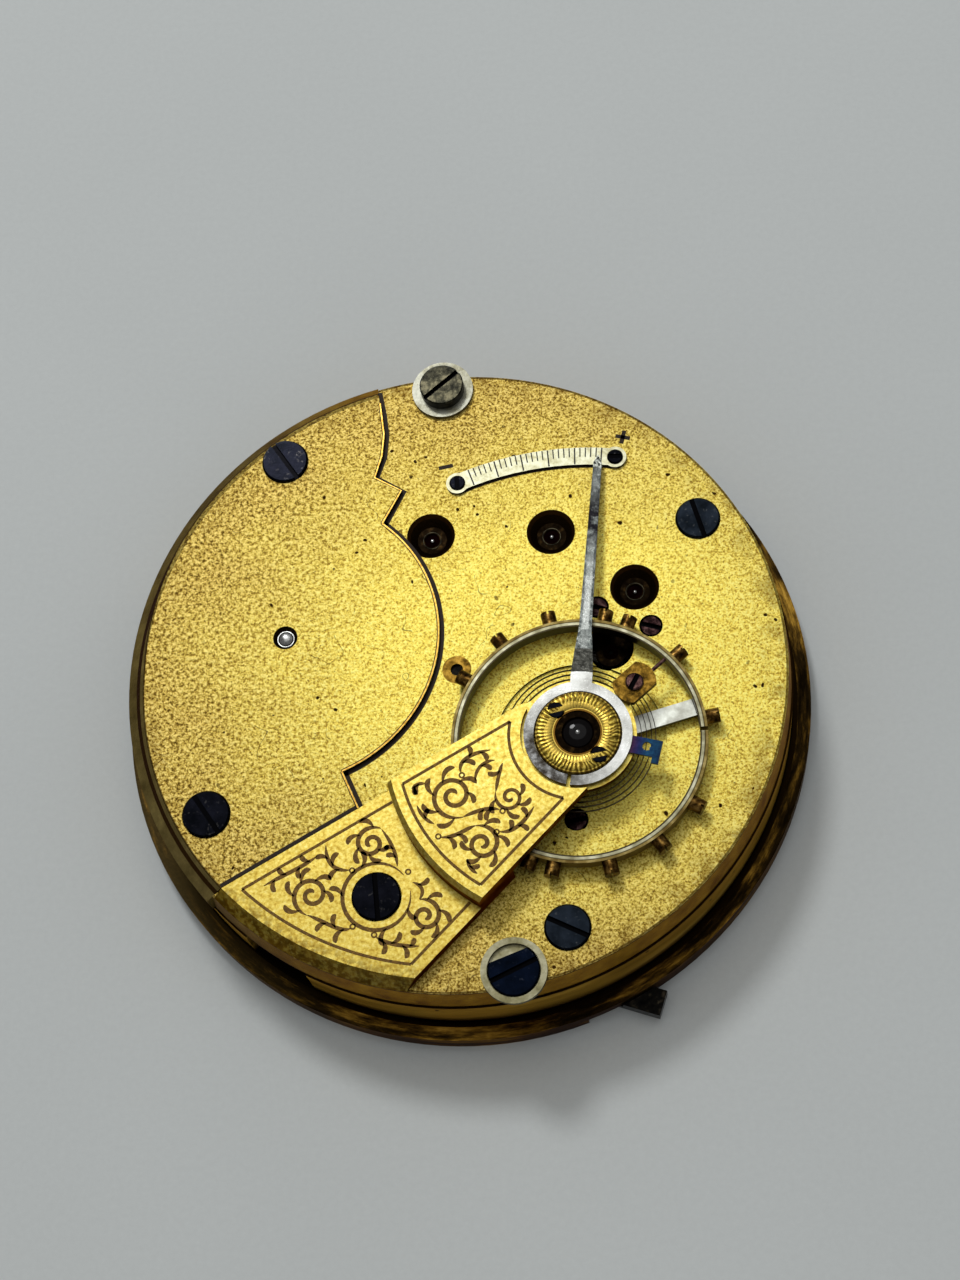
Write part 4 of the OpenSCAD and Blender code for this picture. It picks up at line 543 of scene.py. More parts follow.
def dark_jewel(name="garnet", color=(20, 5, 6), specular=0.0, ior=1.5):
    """Garnet that looks nearly black over its setting."""
    s = Shader(name, metallic=0.0, specular=specular)
    s.bsdf.inputs["IOR"].default_value = ior
    tone = s.noise(0.5, 2.0)
    return s.finished(s.ramp(tone, [(0.3, tuple(c // 2 for c in color)), (0.7, color)]), (tone, 0.04, 0.09))


# The regulator: directions of its pointer and of the ring's side in painted shade, radii of the ring and
# its slope
POINTER_A = 87.1
RING_SHADE_A = -135
RING_R, RING_SLOPE_R = 4.02, 5.66


def regulator_steel():
    """The regulator: polished ring with painted shade on its lower left side, dark slope, ridged grey arm
    with a painted highlight along its crest.
    """
    s = Shader("regulator_steel")
    r = s.radius(BALANCE)
    turn = s.sub(s.angle(BALANCE), math.radians(POINTER_A))
    across = s.calc("ABSOLUTE", s.mul(s.calc("SINE", turn), r))
    tone = s.noise(0.3, 5.0, 0.68)
    soft = s.noise(1.4, 4.0, 0.55)
    polished = s.ramp(soft, [(0.32, (150, 150, 145)), (0.5, (188, 189, 184)), (0.7, (212, 213, 210))])
    # Painted shade: a darker copy of the polished ring, used towards its lower left side
    shaded_ring = s.ramp(s.noise(0.6, 4.0, 0.6),
                    [(0.38, (48, 44, 38)), (0.5, (84, 83, 80)), (0.64, (132, 133, 132))])
    # How far the ring turns to the painted shade, most on its lower left side
    foot = s.calc("COSINE", s.sub(s.angle(BALANCE), math.radians(RING_SHADE_A)))
    foot = s.clamp01(s.add(foot, s.mul(s.noise(0.8), 0.5)), 0.25, 1.15)
    ring = s.mix(foot, polished, shaded_ring)
    # Painted highlight along the arm's crest, on a noisy width
    crest_width = s.add(0.10, s.mul(s.noise(1.6, 4.0), 0.12))
    crest = s.inverse(s.clamp01(s.sub(across, crest_width), 0.0, 0.1))
    flank = s.ramp(tone, [(0.36, (40, 43, 43)), (0.5, (74, 78, 76)), (0.66, (120, 124, 120))])
    shine = s.ramp(soft, [(0.36, (112, 116, 112)), (0.62, (156, 159, 155))])
    # The crest's painted highlight is strongest on the arm's near half; then comes a dark patch, and the
    # tip is speckled and pale
    lit = s.mul(s.above(r, 7.0), s.inverse(s.clamp01(r, 11.0, 13.6)))
    arm = s.mix(s.mul(crest, s.add(0.2, s.mul(lit, 0.7))), flank, shine)
    slope = s.mul(s.above(r, RING_R), s.below(r, RING_SLOPE_R))
    arm = s.mix(slope, arm, s.ramp(tone, [(0.4, (46, 46, 42)), (0.62, (84, 84, 78))]))
    middle = s.mul(s.clamp01(r, 12.8, 14.2), s.inverse(s.clamp01(r, 15.8, 17.4)))
    patch = s.mul(middle, s.clamp01(s.noise(0.7, 4.0, 0.6), 0.38, 0.48))
    arm = s.mix(patch, arm, (24, 23, 26))
    tip = s.ramp(s.noise(0.22), [(0.44, (34, 36, 34)), (0.5, (130, 134, 126)), (0.64, (190, 192, 182))])
    arm = s.mix(s.clamp01(r, 18.6, 18.9), arm, tip)
    color = s.mix(s.above(r, RING_R), ring, arm)
    # Painted shade: darker down the upright faces
    color = s.sides(color, 0.75, (40, 36, 30), 0.4, 0.7)
    return s.finished(color, (tone, 0.14, 0.36), (s.noise(0.16, 4.0, 0.7), 0.008))


def floor_paper():
    """Pale grey matt table."""
    s = Shader("floor_paper", metallic=0.0, specular=0.2)
    tone = s.noise(60.0)
    fibre = s.noise(0.4, 3.0, 0.7)
    base = s.ramp(tone, [(0.3, (214, 219, 218)), (0.7, (220, 225, 224))])
    base = s.mix(s.mul(s.clamp01(fibre, 0.3, 0.7), 0.06), base, (120, 122, 122))
    motes = s.below(s.cells(26.0, s.shifted(2.0, 1.0)), 0.012)
    base = s.mix(s.mul(motes, 0.5), base, (70, 70, 70))
    return s.finished(base, (fibre, 0.85, 0.95), (fibre, 0.012, 0.25))


MATERIALS = {
    "frosted": frosted_gilt(),
    "pillar": pillar_gilt(),
    "cock": cock_gilt(),
    "cap": sunburst_gilt(),
    "regulator": regulator_steel(),
    "curb": curb_steel(),
    "index": index_silver(),
    "balance": balance_metal(),
    # Plain gold inside, and brass painted almost black as shade deep inside and round the jewels
    "wheel": toned("wheel_gilt", (0.25,),
                   [(0.35, (158, 116, 40)), (0.65, (214, 172, 84))], 0.28, 0.42, None, 0.008),
    "dark": toned("dark_brass", (0.4, 4.0, 0.6),
                  [(0.36, (7, 4, 2)), (0.56, (17, 11, 5)), (0.74, (48, 34, 14))], 0.16, 0.3, None, 0.004),
    "bronze": mottled("bronze", (26, 16, 6), (80, 56, 22), (156, 122, 62), 0.5, 0.24, 0.42),
    "stud": mottled("tarnished_brass", (50, 36, 10), (112, 84, 28), (176, 138, 56), 0.5),
    "steel": bright_steel("steel", (196, 197, 194), (124, 124, 122)),
    "grey_steel": bright_steel("grey_steel", (150, 152, 154), (96, 98, 100), 0.8, 0.3, 0.5),
    "spring": bright_steel("spring_steel", (46, 40, 35), (18, 15, 12), 0.6, 0.24, 0.4),
    # Screw heads; the numbers at the end are the heights of their slots' floors, which are painted black as
    # shade
    "blued": blued("blued_steel", (6, 7, 10), (14, 15, 21), (76, 74, 72), (7.965, 8.57, 10.22)),
    "navy": blued("navy_steel", (4, 7, 14), (8, 14, 27), (50, 54, 64), (7.98,)),
    "teal": blued("teal_steel", (12, 16, 20), (29, 35, 43), (92, 94, 94), (7.67,)),
    "plum": mottled("plum_steel", (16, 9, 10), (36, 22, 22), (84, 62, 60), 0.4, 0.2, 0.36, (7.25, 7.45)),
    "gunmetal": mottled("gunmetal", (22, 22, 18), (44, 43, 34), (88, 84, 66), 0.6, 0.24, 0.44, (8.5,)),
    "stud_head": mottled("stud_head", (38, 22, 22), (76, 52, 50), (118, 90, 82), 0.3, slots=(10.3,)),
    "nickel": worn_nickel("worn_nickel", (104, 100, 80), (136, 134, 116), (160, 160, 146)),
    "near_nickel": worn_nickel("yellowed_nickel", (94, 88, 58), (128, 123, 92), (160, 156, 128)),
    "jewel": dark_jewel(),
    "end_stone": dark_jewel("end_stone", (10, 7, 7), 0.5, 1.22),
    # Nearly black steel with worn brown in places, for the setting lever
    "lever": toned("blackened_steel", (0.5, 5.0, 0.68),
                   [(0.38, (6, 6, 6)), (0.56, (18, 17, 15)), (0.72, (64, 58, 46))],
                   0.24, 0.5, (0.2, 4.0, 0.7), 0.012),
    "engraved": engraved("engraved_brown", (78, 54, 12), (118, 86, 26), (170, 130, 52)),
    # Dark brown for joints, cut marks and painted shadows
    "seam_and_shade": engraved("seam_and_shade_brown", (20, 12, 4), (38, 24, 8), (70, 46, 14)),
    "ink": toned("ink", (0.15,), [(0.3, (14, 14, 14)), (0.7, (40, 38, 34))], 0.5, 0.7, metallic=0.0),
}

# The solids that wear each material
WEARERS = {
    "pillar": "pillar_plate",
    "frosted": "top_plate barrel_bridge",
    "cock": "balance_cock",
    "cap": "balance_cap",
    "dark": "pallet_cock jewel_settings fork",
    "wheel": "potence mainspring_barrel barrel_cover center_wheel third_wheel fourth_wheel escape_wheel "
             "collet minute_wheel hour_wheel",
    "stud": "center_bush hairspring_stud",
    "steel": "barrel_arbor third_arbor fourth_arbor escape_arbor balance_staff roller cannon_pinion "
             "winding_pinion banking_pins pallets",
    "lever": "center_arbor pallet_arbor setting_lever",
    "grey_steel": "ratchet_wheel crown_wheel click",
    "spring": "mainspring hairspring click_spring",
    "regulator": "regulator",
    "index": "index_scale",
    "curb": "curb_arm",
    "teal": "top_plate_screws",
    "blued": "barrel_bridge_screws cock_screw cap_screws index_screws keyless_screws",
    "plum": "small_plate_screws",
    "navy": "half_head_case_screw",
    "gunmetal": "case_screw",
    "stud_head": "stud_pins",
    "nickel": "case_washer",
    "near_nickel": "cup_washer",
    "balance": "balance_wheel",
    "bronze": "balance_screws",
    "jewel": "train_jewels balance_jewels pallet_stones impulse_pin",
}


def dress_nodes():
    for look, names in WEARERS.items():
        for name in names.split():
            materials = NODES[name].data.materials
            if not materials:
                materials.append(MATERIALS[look])
            for i in range(len(materials)):
                materials[i] = MATERIALS[look]


def unit(a):
    """The step of length 1 in a direction in degrees."""
    return (math.cos(math.radians(a)), math.sin(math.radians(a)))


def polar(r, a, about=CENTER):
    """A point at radius r and direction a in degrees."""
    x, y = unit(a)
    return (about[0] + r * x, about[1] + r * y)


def put(name, data):
    """A new object in the scene."""
    made = bpy.data.objects.new(name, data)
    bpy.context.scene.collection.objects.link(made)
    return made


def mesh_piece(name, verts, faces, look, body, smooth=False):
    """A piece from points in millimetres."""
    mesh = bpy.data.meshes.new(name)
    mesh.from_pydata([(x * MM, y * MM, z * MM) for x, y, z in verts], [], faces)
    mesh.validate()
    for polygon in mesh.polygons:
        polygon.use_smooth = smooth
    mesh.materials.append(MATERIALS[look])
    piece = put(name, mesh)
    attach(piece, body)
    return piece


# A tapered line's ends are this share of its width
TIP = 0.2


def stroke(points, width, start, end):
    """Points with half widths that taper over the first and last parts of the line."""
    def taper(t, part):
        return 1.0 if t >= part else TIP + (1 - TIP) * math.sin(math.pi / 2 * t / part)
    n = len(points) - 1
    return [(x, y, width / 2 * min(taper(i / n, start), taper(1 - i / n, end)))
            for i, (x, y) in enumerate(points)]


def arc(about, r, a0, a1, steps=24):
    return [polar(r, a0 + (a1 - a0) * i / steps, about) for i in range(steps + 1)]


def spiral(about, r0, r1, a0, turns, steps=60):
    """A curl from radius r0 in to r1."""
    return [polar(r0 + (r1 - r0) * (i / steps) ** 0.8, a0 + 360 * turns * i / steps, about)
            for i in range(steps + 1)]


def curve(p0, p1, p2, p3, steps=20):
    """A cubic line through its two ends."""
    points = []
    for i in range(steps + 1):
        t = i / steps
        k = ((1 - t) ** 3, 3 * t * (1 - t) ** 2, 3 * t * t * (1 - t), t ** 3)
        points.append(tuple(sum(w * p[j] for w, p in zip(k, (p0, p1, p2, p3))) for j in (0, 1)))
    return points


def left_step(points, i):
    """The step of length 1 to the left of a line, at one of its points."""
    ax, ay = points[max(i - 1, 0)][:2]
    bx, by = points[min(i + 1, len(points) - 1)][:2]
    length = math.hypot(bx - ax, by - ay) or 1.0
    return -(by - ay) / length, (bx - ax) / length


def ribbons(name, strokes, z, look, body="plates"):
    """Flat tapered lines on a level face."""
    verts, faces = [], []
    for line in strokes:
        first = len(verts)
        for i, (x, y, half) in enumerate(line):
            nx, ny = left_step(line, i)
            verts.append((x + nx * half, y + ny * half, z))
            verts.append((x - nx * half, y - ny * half, z))
            if i:
                k = first + 2 * i
                faces.append((k - 2, k - 1, k + 1, k))
    return mesh_piece(name, verts, faces, look, body)


# The cock's outline: two edge lines by direction and offset from the balance axis
UPPER_A, UPPER_OFF = 31.5, 3.46
LOWER_A, LOWER_OFF = 47.9, -2.8
TABLE_R = 12.1
# Borders: how far in from the table's and the foot's edges, their arcs' radii, and their width
BORDER_IN, FOOT_BORDER_IN = 0.62, 0.75
HEAD_ARC_R, FOOT_ARC_R = 4.25, 19.35
BORDER_W = 0.19


def on_line(direction, offset, r, about=BALANCE):
    """Where a cock edge line meets a circle of radius r about a place, on the foot's side."""
    ux, uy = unit(direction)
    px = BALANCE[0] - offset * uy - about[0]
    py = BALANCE[1] + offset * ux - about[1]
    along = px * ux + py * uy
    s = -along - math.sqrt(along * along - (px * px + py * py - r * r))
    return (about[0] + px + s * ux, about[1] + py + s * uy)


def direction_of(p, about):
    return math.degrees(math.atan2(p[1] - about[1], p[0] - about[0])) % 360


def cut_line(points, width=BORDER_W):
    return stroke(points, width, 0, 0)


def arc_between(about, r, p, q):
    """A cut arc from the direction of p to that of q."""
    return cut_line(arc(about, r, direction_of(p, about), direction_of(q, about)))


def cock_borders():
    """Cut border lines round the table and the foot."""
    up, low = UPPER_OFF - BORDER_IN, LOWER_OFF + BORDER_IN
    r_in, r_out = HEAD_ARC_R, TABLE_R - 0.3 - BORDER_IN
    a, b = on_line(UPPER_A, up, r_in), on_line(UPPER_A, up, r_out)
    c, d = on_line(LOWER_A, low, r_out), on_line(LOWER_A, low, r_in)
    table = [cut_line([a, b]), arc_between(BALANCE, r_out, b, c), cut_line([c, d]),
             arc_between(BALANCE, r_in, d, a)]
    ribbons("table_border", table, Z_TABLE + LIFT, "engraved")
    up, low, edge_r = UPPER_OFF - FOOT_BORDER_IN, LOWER_OFF + FOOT_BORDER_IN, FOOT_ARC_R
    a, b = on_line(UPPER_A, up, TABLE_R + 0.05), on_line(UPPER_A, up, edge_r, CENTER)
    c, d = on_line(LOWER_A, low, edge_r, CENTER), on_line(LOWER_A, low, TABLE_R + 0.05)
    foot = [cut_line([a, b]), arc_between(CENTER, edge_r, b, c), cut_line([c, d])]
    ribbons("foot_border", foot, Z_FOOT + LIFT, "engraved")


# Leaves are drawn this much longer than their tables say, and a curl ends at this share of its radius
LEAF_SIZE, LEAF_W = 1.22, 0.33
CURL_END = 0.14


def leaf(at, heading, length, bend):
    """A comma shaped cut: thin at its root, thick past its middle, bent over at its tip."""
    length *= LEAF_SIZE
    ux, uy = unit(heading)
    def place(f, s):
        return (at[0] + length * (f * ux - s * uy), at[1] + length * (f * uy + s * ux))
    spine = curve(at, place(0.45, -0.12 * bend), place(0.95, 0.0), place(0.98, 0.5 * bend), 14)
    return stroke(spine, LEAF_W, 0.7, 0.2)


def curl(center, r, start, turns, leaves, width=0.29):
    """A curl in drawing coordinates, with leaves off its outer side.

    Each leaf is (direction on the curl, length); it leans along the way the curl runs."""
    sense = 1 if turns > 0 else -1
    lines = [stroke(spiral(center, r, r * CURL_END, start, turns), width, 0.1, 0.12)]
    for where, length in leaves:
        travelled = (where - start) * sense % 360
        at_r = r + (r * CURL_END - r) * (travelled / (360 * abs(turns))) ** 0.8
        lines.append(leaf(polar(at_r, where, center), where + sense * 48, length, sense))
    return lines


def vine(points, leaves, width=0.26):
    """A stem with leaves; each leaf is (place along it from 0 to 1, side, length)."""
    lines = [stroke(points, width, 0.3, 0.3)]
    for t, side, length in leaves:
        i = min(int(t * (len(points) - 1)), len(points) - 2)
        p, q = points[i], points[i + 1]
        heading = math.degrees(math.atan2(q[1] - p[1], q[0] - p[0]))
        lines.append(leaf(p, heading + 42 * side, length, side))
    return lines


def small_ring(at):
    return cut_line(arc(at, 0.15, 0, 360, 16), 0.11)


# The scrolls' layout, from the balance axis along the cock. A curl is its center, radius, first direction,
# turns, leaves and perhaps width; a stem is its points, leaves and perhaps width.
TABLE_CURLS = [
    ((8.35, -1.75), 1.5, 75, -1.75,
     [(55, 0.85), (10, 0.85), (-40, 0.85), (-90, 0.9), (-150, 0.8), (-205, 0.6)]),
    ((8.9, 1.75), 1.2, 250, -1.6, [(225, 0.75), (170, 0.75), (110, 0.75), (50, 0.7), (-5, 0.65)]),
    ((5.75, 0.55), 0.95, 300, 1.5, [(330, 0.65), (35, 0.7), (95, 0.65), (150, 0.55)], 0.23),
]
TABLE_STEMS = [
    (curve((6.75, 0.75), (7.1, 0.2), (7.9, -0.1), (8.74, -0.3)), [(0.2, 1, 0.6), (0.45, 1, 0.5)]),
    (curve((10.6, -0.2), (9.9, 0.5), (9.1, 0.35), (8.49, 0.62)), [(0.15, -1, 0.65), (0.4, -1, 0.6)]),
    (curve((4.75, -1.45), (5.2, -1.2), (5.7, -0.75), (6.22, -0.27)), [(0.3, -1, 0.55)], 0.23),
    (curve((7.6, 1.85), (7.1, 2.45), (6.1, 2.4), (5.0, 1.95)),
     [(0.25, 1, 0.5), (0.5, -1, 0.5), (0.75, 1, 0.5)]),
    (curve((7.1, -2.6), (6.8, -3.4), (5.8, -3.2), (4.8, -2.6)),
     [(0.3, -1, 0.6), (0.55, 1, 0.45), (0.8, -1, 0.5)]),
    (curve((6.75, -1.6), (6.3, -2.3), (5.5, -2.3), (5.0, -1.9)), [(0.5, -1, 0.5)], 0.22),
    (curve((9.2, -3.45), (9.45, -3.75), (9.7, -3.8), (10.05, -3.75)), [(0.4, 1, 0.5), (0.7, 1, 0.4)], 0.23),
    (curve((10.15, 1.95), (10.4, 2.3), (10.4, 2.7), (10.25, 3.05)), [(0.35, 1, 0.45)], 0.23),
    (curve((10.35, -1.1), (10.6, -1.5), (10.65, -2.1), (10.45, -2.7)), [(0.4, -1, 0.45)], 0.22),
]
TABLE_DOTS = [(10.65, -0.3), (6.65, 0.95), (7.15, -2.45), (7.75, 1.75)]
FOOT_CURLS = [
    ((18.75, -2.85), 1.3, 40, -1.6, [(15, 0.75), (-35, 0.75), (-85, 0.8), (-140, 0.75), (-200, 0.65)]),
    ((13.95, -3.1), 1.1, 200, 1.55, [(225, 0.7), (285, 0.7), (340, 0.75), (40, 0.65), (95, 0.5)]),
    ((14.2, 2.65), 1.1, 250, -1.55, [(225, 0.7), (165, 0.75), (110, 0.7), (50, 0.65)]),
]
FOOT_STEMS = [
    # Round the foot's screw
    ([polar(2.1, a, (15.74, -0.21)) for a in range(150, -190, -10)],
     [(0.12, 1, 0.6), (0.25, 1, 0.8), (0.6, 1, 0.7), (0.78, 1, 0.75)]),
    (curve((18.15, 0.35), (18.8, 0.3), (19.2, -1.2), (19.72, -2.0)),
     [(0.2, 1, 0.7), (0.4, -1, 0.6), (0.6, 1, 0.55)]),
    (curve((13.6, -0.9), (13.2, -1.5), (12.95, -2.2), (12.92, -3.4)),
     [(0.25, 1, 0.45), (0.5, 1, 0.4)], 0.23),
    (curve((13.5, 0.5), (13.1, 1.0), (13.3, 1.5), (13.82, 1.6)), [(0.2, 1, 0.55)], 0.23),
    (curve((16.0, -2.6), (16.8, -3.1), (16.9, -3.9), (16.2, -4.8)),
     [(0.25, 1, 0.6), (0.45, -1, 0.65), (0.7, 1, 0.55)]),
    (curve((17.3, 1.75), (17.1, 2.5), (16.4, 3.3), (15.6, 3.9)),
     [(0.2, -1, 0.6), (0.4, 1, 0.65), (0.65, -1, 0.6), (0.8, 1, 0.4)]),
    (curve((17.0, -4.6), (18.2, -4.6), (19.4, -5.0), (20.7, -5.2)),
     [(0.15, -1, 0.5), (0.35, 1, 0.5), (0.6, -1, 0.45), (0.8, 1, 0.55)]),
]
FOOT_DOTS = [(18.0, 0.35), (15.9, -2.48), (13.3, -0.2), (17.3, 1.6)]


def scrolls(name, curls, stems, dots, z):
    """Curls, stems and leaves of an own layout, cut into one face."""
    lines = []
    for entry in curls:
        lines += curl(*entry)
    for entry in stems:
        lines += vine(*entry)
    lines += [small_ring(at) for at in dots]
    ux, uy = unit(180 + (UPPER_A + LOWER_A) / 2)
    placed = [[(BALANCE[0] + x * ux - y * uy, BALANCE[1] + x * uy + y * ux, half) for x, y, half in line]
              for line in lines]
    ribbons(name, placed, z + LIFT, "engraved")


# The bridge's edge on the top plate, from the far rim round to the cock
BRIDGE_EDGE = ((-5.5, 18.1), (-5.27, 16.6), (-5.35, 15.0), (-5.76, 13.46), (-3.95, 12.48), (-5.1, 10.13))
BRIDGE_FOOT = ((-6.93, -6.85), (-5.8, -9.2))
BRIDGE_ROUND_R = 9.95
BRIDGE_CUT_OFF = 3.7
# Where the edge meets the far rim, for the seam with its painted shadow on the plate and for the bridge's
# bright corner
SEAM_START, CORNER_START = (-5.88, 19.8), (-5.62, 18.9)


def beside(points, offset):
    """A line moved to its left by an offset."""
    steps = [left_step(points, i) for i in range(len(points))]
    return [(x + nx * offset, y + ny * offset) for (x, y), (nx, ny) in zip(points, steps)]


def seams():
    """Dark lines and bright corners where the bridge and the cock meet the top plate; the dark lines are
    dark joints with painted shadow.
    """
    first = direction_of(BRIDGE_EDGE[-1], BARREL)
    last = direction_of(BRIDGE_FOOT[0], BARREL) - 360
    path = list(BRIDGE_EDGE) + arc(BARREL, BRIDGE_ROUND_R, first, last, 72) + list(BRIDGE_FOOT)
    outer = [SEAM_START] + path
    # Dark joint and painted shadow beside the bridge's edge
    ribbons("bridge_seam_and_shadow", [cut_line(beside(outer, 0.14), 0.28)], Z_TOP + LIFT, "seam_and_shade")
    inner = [CORNER_START] + path
    z = Z_BRIDGE + LIFT
    ribbons("bridge_corner", [cut_line(beside(inner, -0.06), 0.09)], z, "wheel")
    ribbons("bridge_corner_line", [cut_line(beside(inner, -0.14), 0.06)], z, "seam_and_shade")
    off = BRIDGE_CUT_OFF + 0.12
    a, b = on_line(UPPER_A, off, 14.4), on_line(UPPER_A, off, 20.1, CENTER)
    # Dark joint and painted shadow between the bridge and the cock's foot
    ribbons("cock_seam_and_shadow", [cut_line([a, b], 0.24)], z, "seam_and_shade")


# The index: its radii from the balance axis, and the directions of its first and last lines
INDEX_IN, INDEX_OUT = 19.27, 20.5
INDEX_TOP = Z_TOP + 0.22
INDEX_FIRST, INDEX_LAST = 86.6, 111.6
INDEX_LINES = 26


def index_lines():
    """Lines of the index: from the outer edge to half its width, every fifth right across."""
    lines = []
    for i in range(INDEX_LINES):
        a = INDEX_FIRST + (INDEX_LAST - INDEX_FIRST) * i / (INDEX_LINES - 1)
        gap, half = (0.55, 0.04) if i % 5 else (0.03, 0.048)
        lines.append([polar(r, a, BALANCE) + (half,) for r in (INDEX_IN + gap, INDEX_OUT - 0.02)])
    ribbons("index_lines", lines, INDEX_TOP + 0.004, "ink", "plates")
    # Painted shadow: a dark strip on the plate along the index's inner edge
    shade = cut_line(arc(BALANCE, INDEX_IN - 0.06, 84.4, 114.0, 40), 0.14)
    ribbons("index_shade", [shade], Z_TOP + LIFT, "seam_and_shade")


MINUS_AT, PLUS_AT = (-1.15, 14.25), (10.45, 16.15)
MARK_HALF, MARK_W = 0.48, 0.27


def rate_marks():
    """A minus and a plus cut beside the two ends of the index."""
    def bar(at, a):
        return cut_line([polar(-MARK_HALF, a, at), polar(MARK_HALF, a, at)], MARK_W)
    bars = [bar(MINUS_AT, 12), bar(PLUS_AT, -12), bar(PLUS_AT, 78)]
    ribbons("rate_marks", bars, Z_TOP + LIFT, "seam_and_shade")


def ring_relief(name, about, profile, look, body, count, waves=0, swell=0.0):
    """A ring of revolution from (radius, height) pairs, waved round the axis if asked."""
    verts, faces = [], []
    rows = len(profile)
    for i in range(count):
        a = 360 * i / count
        beat = math.cos(math.radians(a) * waves) * (0.6 + 0.4 * math.cos(math.radians(a) * 7 + 1.3))
        lift = swell * (0.5 + 0.5 * beat) if waves else 0.0
        for j, (r, z) in enumerate(profile):
            x, y = polar(r, a, about)
            verts.append((x, y, z + (lift if 0 < j < rows - 1 else 0.0)))
    for i in range(count):
        k = (i + 1) % count
        for j in range(rows - 1):
            faces.append((i * rows + j, k * rows + j, k * rows + j + 1, i * rows + j + 1))
    return mesh_piece(name, verts, faces, look, body, smooth=True)


def cap_sunburst():
    """Radial flutes on the cap, between its bright inner lip and its rim."""
    low, high = Z_CAP + 0.002, Z_CAP + 0.012
    profile = [(1.56, low), (1.6, high), (1.9, high), (2.2, high), (2.48, high), (2.52, low)]
    count = CAP_FLUTES * 8
    ring_relief("cap_flutes", BALANCE, profile, "cap", "plates", count, CAP_FLUTES, 0.02)


def dome_piece(name, places, r, rise, look, body, rings=6):
    """Low domes, one at each (x, y, z)."""
    verts, faces = [], []
    segments = 24
    for x, y, z in places:
        first = len(verts)
        for j in range(rings):
            t = math.pi / 2 * j / rings
            for i in range(segments):
                a = 2 * math.pi * i / segments
                verts.append((x + r * math.cos(t) * math.cos(a), y + r * math.cos(t) * math.sin(a),
                              z + rise * math.sin(t)))
        verts.append((x, y, z + rise))
        for j in range(rings - 1):
            low = first + j * segments
            high = low + segments
            for i in range(segments):
                k = (i + 1) % segments
                faces.append((low + i, low + k, high + k, high + i))
        top = first + rings * segments
        for i in range(segments):
            faces.append((top - segments + i, top - segments + (i + 1) % segments, top))
    return mesh_piece(name, verts, faces, look, body, smooth=True)


def jewel_details():
    """Polished pivot ends, thin grey rings in the sinks, and the end stone's dark dome."""
    places = [(p[0], p[1], Z_JEWEL + 0.02) for p in (THIRD, FOURTH, ESCAPE)]
    dome_piece("pivot_ends", places, 0.15, 0.11, "steel", "plates")
    place = (BARREL[0], BARREL[1], Z_BRIDGE - 0.26)
    dome_piece("barrel_arbor_end", [place], 0.5, 0.2, "steel", "winding_arbor")
    for i, p in enumerate((THIRD, FOURTH, ESCAPE)):
        profile = [(0.55, Z_SETTING + 0.005), (0.58, Z_SETTING + 0.03), (0.61, Z_SETTING + 0.005)]
        ring_relief("setting_ring_%d" % (i + 1), p, profile, "gunmetal", "plates", 48)
    stone, glint = ((BALANCE[0], BALANCE[1], Z_END_STONE + rise) for rise in (0.002, 0.24))
    dome_piece("end_stone_dome", [stone], 0.97, 0.26, "end_stone", "plates", 12)
    dome_piece("staff_glint", [glint], 0.16, 0.08, "steel", "plates")


# The spring's radii, turns and steps; its last steps run round at the stud's radius
SPRING_IN, SPRING_OUT = 0.81, 4.75
SPRING_TURNS = 13
SPRING_TURN_STEPS = 48
SPRING_END_STEPS = 13
STUD_A = 43.2
# Middle height, height and thickness of the strip
SPRING_Z = 9.0
SPRING_H = 0.2
SPRING_T = 0.045


def hairspring():
    """The real spring's fine flat coil, in the place of the few plain turns of the solid."""
    steps = SPRING_TURN_STEPS * SPRING_TURNS
    verts, faces = [], []
    for i in range(steps + 1):
        a = STUD_A - 360 * SPRING_TURNS * (1 - i / steps)
        r = SPRING_IN + (SPRING_OUT - SPRING_IN) * min(1.0, i / (steps - SPRING_END_STEPS))
        for dr, dz in ((-1, -1), (1, -1), (1, 1), (-1, 1)):
            x, y = polar(r + dr * SPRING_T / 2, a, BALANCE)
            verts.append((x, y, SPRING_Z + dz * SPRING_H / 2))
    for i in range(steps):
        for k in range(4):
            a, b = 4 * i + k, 4 * i + (k + 1) % 4
            faces.append((a, b, b + 4, a + 4))
    faces.append((0, 3, 2, 1))
    faces.append(tuple(4 * steps + k for k in range(4)))
    piece = mesh_piece("hairspring_coil", verts, faces, "spring", "balance")
    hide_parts("hairspring")


# Camera, fitted to the photograph: focal length in its pixels, and the view in degrees and millimetres
PHOTO_H = 1280
FOCAL_PX = 2297
CAMERA_ELEVATION = 67.7
CAMERA_ROLL = 15.39
CAMERA_OFFSET = (-0.694, -4.695, 152.7)
CAMERA_TURN = 15.8


def place_camera():
    e, roll = math.radians(CAMERA_ELEVATION), math.radians(CAMERA_ROLL)
    side = Vector((1, 0, 0))
    rise = Vector((0, math.sin(e), math.cos(e)))
    ahead = Vector((0, math.cos(e), -math.sin(e)))
    right = side * math.cos(roll) - rise * math.sin(roll)
    up = side * math.sin(roll) + rise * math.cos(roll)
    at = -(right * CAMERA_OFFSET[0] + up * CAMERA_OFFSET[1] + ahead * CAMERA_OFFSET[2]) * MM
    turn = Matrix.Rotation(math.radians(CAMERA_TURN), 3, "Z")
    right, up, ahead, at = turn @ right, turn @ up, turn @ ahead, turn @ at
    data = bpy.data.cameras.new("camera")
    data.sensor_width = 36
    data.lens = FOCAL_PX / PHOTO_H * 36
    data.clip_start = 0.001
    data.clip_end = 20
    camera = put("camera", data)
    turned = Matrix((right, up, -ahead)).transposed().to_4x4()
    camera.matrix_world = Matrix.Translation(at) @ turned
    bpy.context.scene.camera = camera


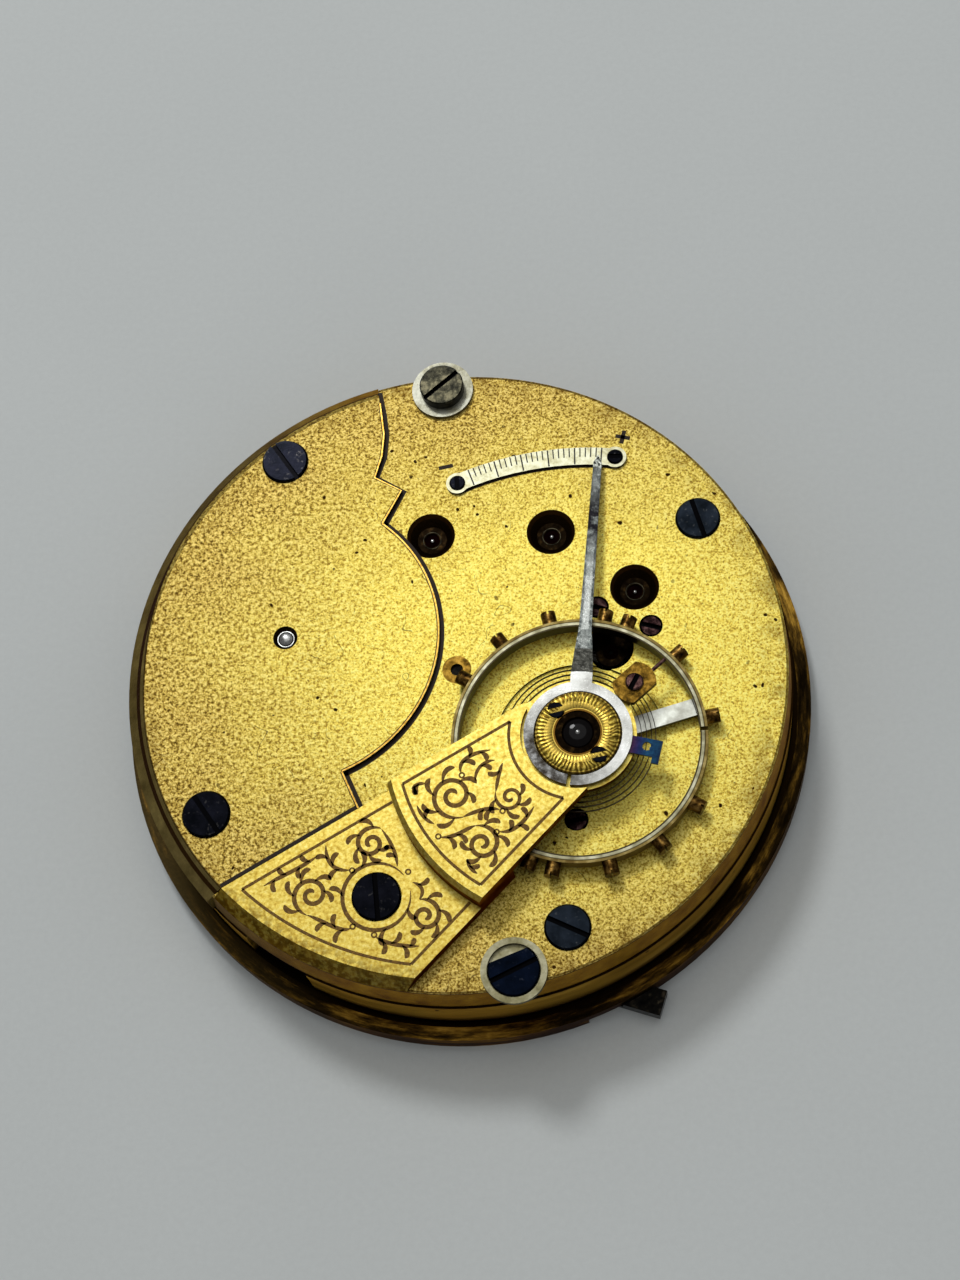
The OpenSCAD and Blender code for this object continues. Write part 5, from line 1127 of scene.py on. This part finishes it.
# Floor and lamps in metres, and the world's level below and above
FLOOR_SIZE = 1.6
FLOOR_GAP = 0.00002
LAMP_DISTANCE = 0.6
SKY_LOW, SKY_HIGH = 0.22, 0.3


def place_floor():
    half = FLOOR_SIZE / 2
    mesh = bpy.data.meshes.new("floor")
    corners = [(-half, -half, 0), (half, -half, 0), (half, half, 0), (-half, half, 0)]
    mesh.from_pydata(corners, [], [(0, 1, 2, 3)])
    mesh.materials.append(floor_paper())
    floor = put("floor", mesh)
    floor.location.z = cad_box[0][2] - FLOOR_GAP


def place_light(name, azimuth, elevation, size, power):
    """A round lamp that faces the middle of the watch, with its direction in degrees."""
    a, e = math.radians(azimuth), math.radians(elevation)
    at = Vector((math.cos(a) * math.cos(e), math.sin(a) * math.cos(e), math.sin(e))) * LAMP_DISTANCE
    data = bpy.data.lights.new(name, "AREA")
    data.shape = "DISK"
    data.size = size
    data.energy = power
    lamp = put(name, data)
    lamp.location = at
    lamp.rotation_euler = (-at).to_track_quat("-Z", "Y").to_euler()


def place_lights():
    place_light("wide_light", 98, 70, 0.42, 0.42)
    place_light("side_light", 115, 54, 0.12, 0.98)
    world = bpy.data.worlds.new("studio")
    world.use_nodes = True
    tree = world.node_tree
    background = tree.nodes["Background"]
    kinds = ("TexCoord", "SeparateXYZ", "ValToRGB")
    coords, split, shade = (tree.nodes.new("ShaderNode" + kind) for kind in kinds)
    steps = ((coords.outputs["Generated"], split), (split.outputs[2], shade),
             (shade.outputs[0], background))
    for source, node in steps:
        tree.links.new(source, node.inputs[0])
    for element, place, level in zip(shade.color_ramp.elements, (0.0, 0.85), (SKY_LOW, SKY_HIGH)):
        element.position, element.color = place, (level, level, level, 1)
    bpy.context.scene.world = world


dress_nodes()
cock_borders()
scrolls("table_scrolls", TABLE_CURLS, TABLE_STEMS, TABLE_DOTS, Z_TABLE)
scrolls("foot_scrolls", FOOT_CURLS, FOOT_STEMS, FOOT_DOTS, Z_FOOT)
seams()
index_lines()
rate_marks()
cap_sunburst()
jewel_details()
hairspring()
place_camera()
place_floor()
place_lights()

bpy.context.scene.view_settings.view_transform = "Standard"
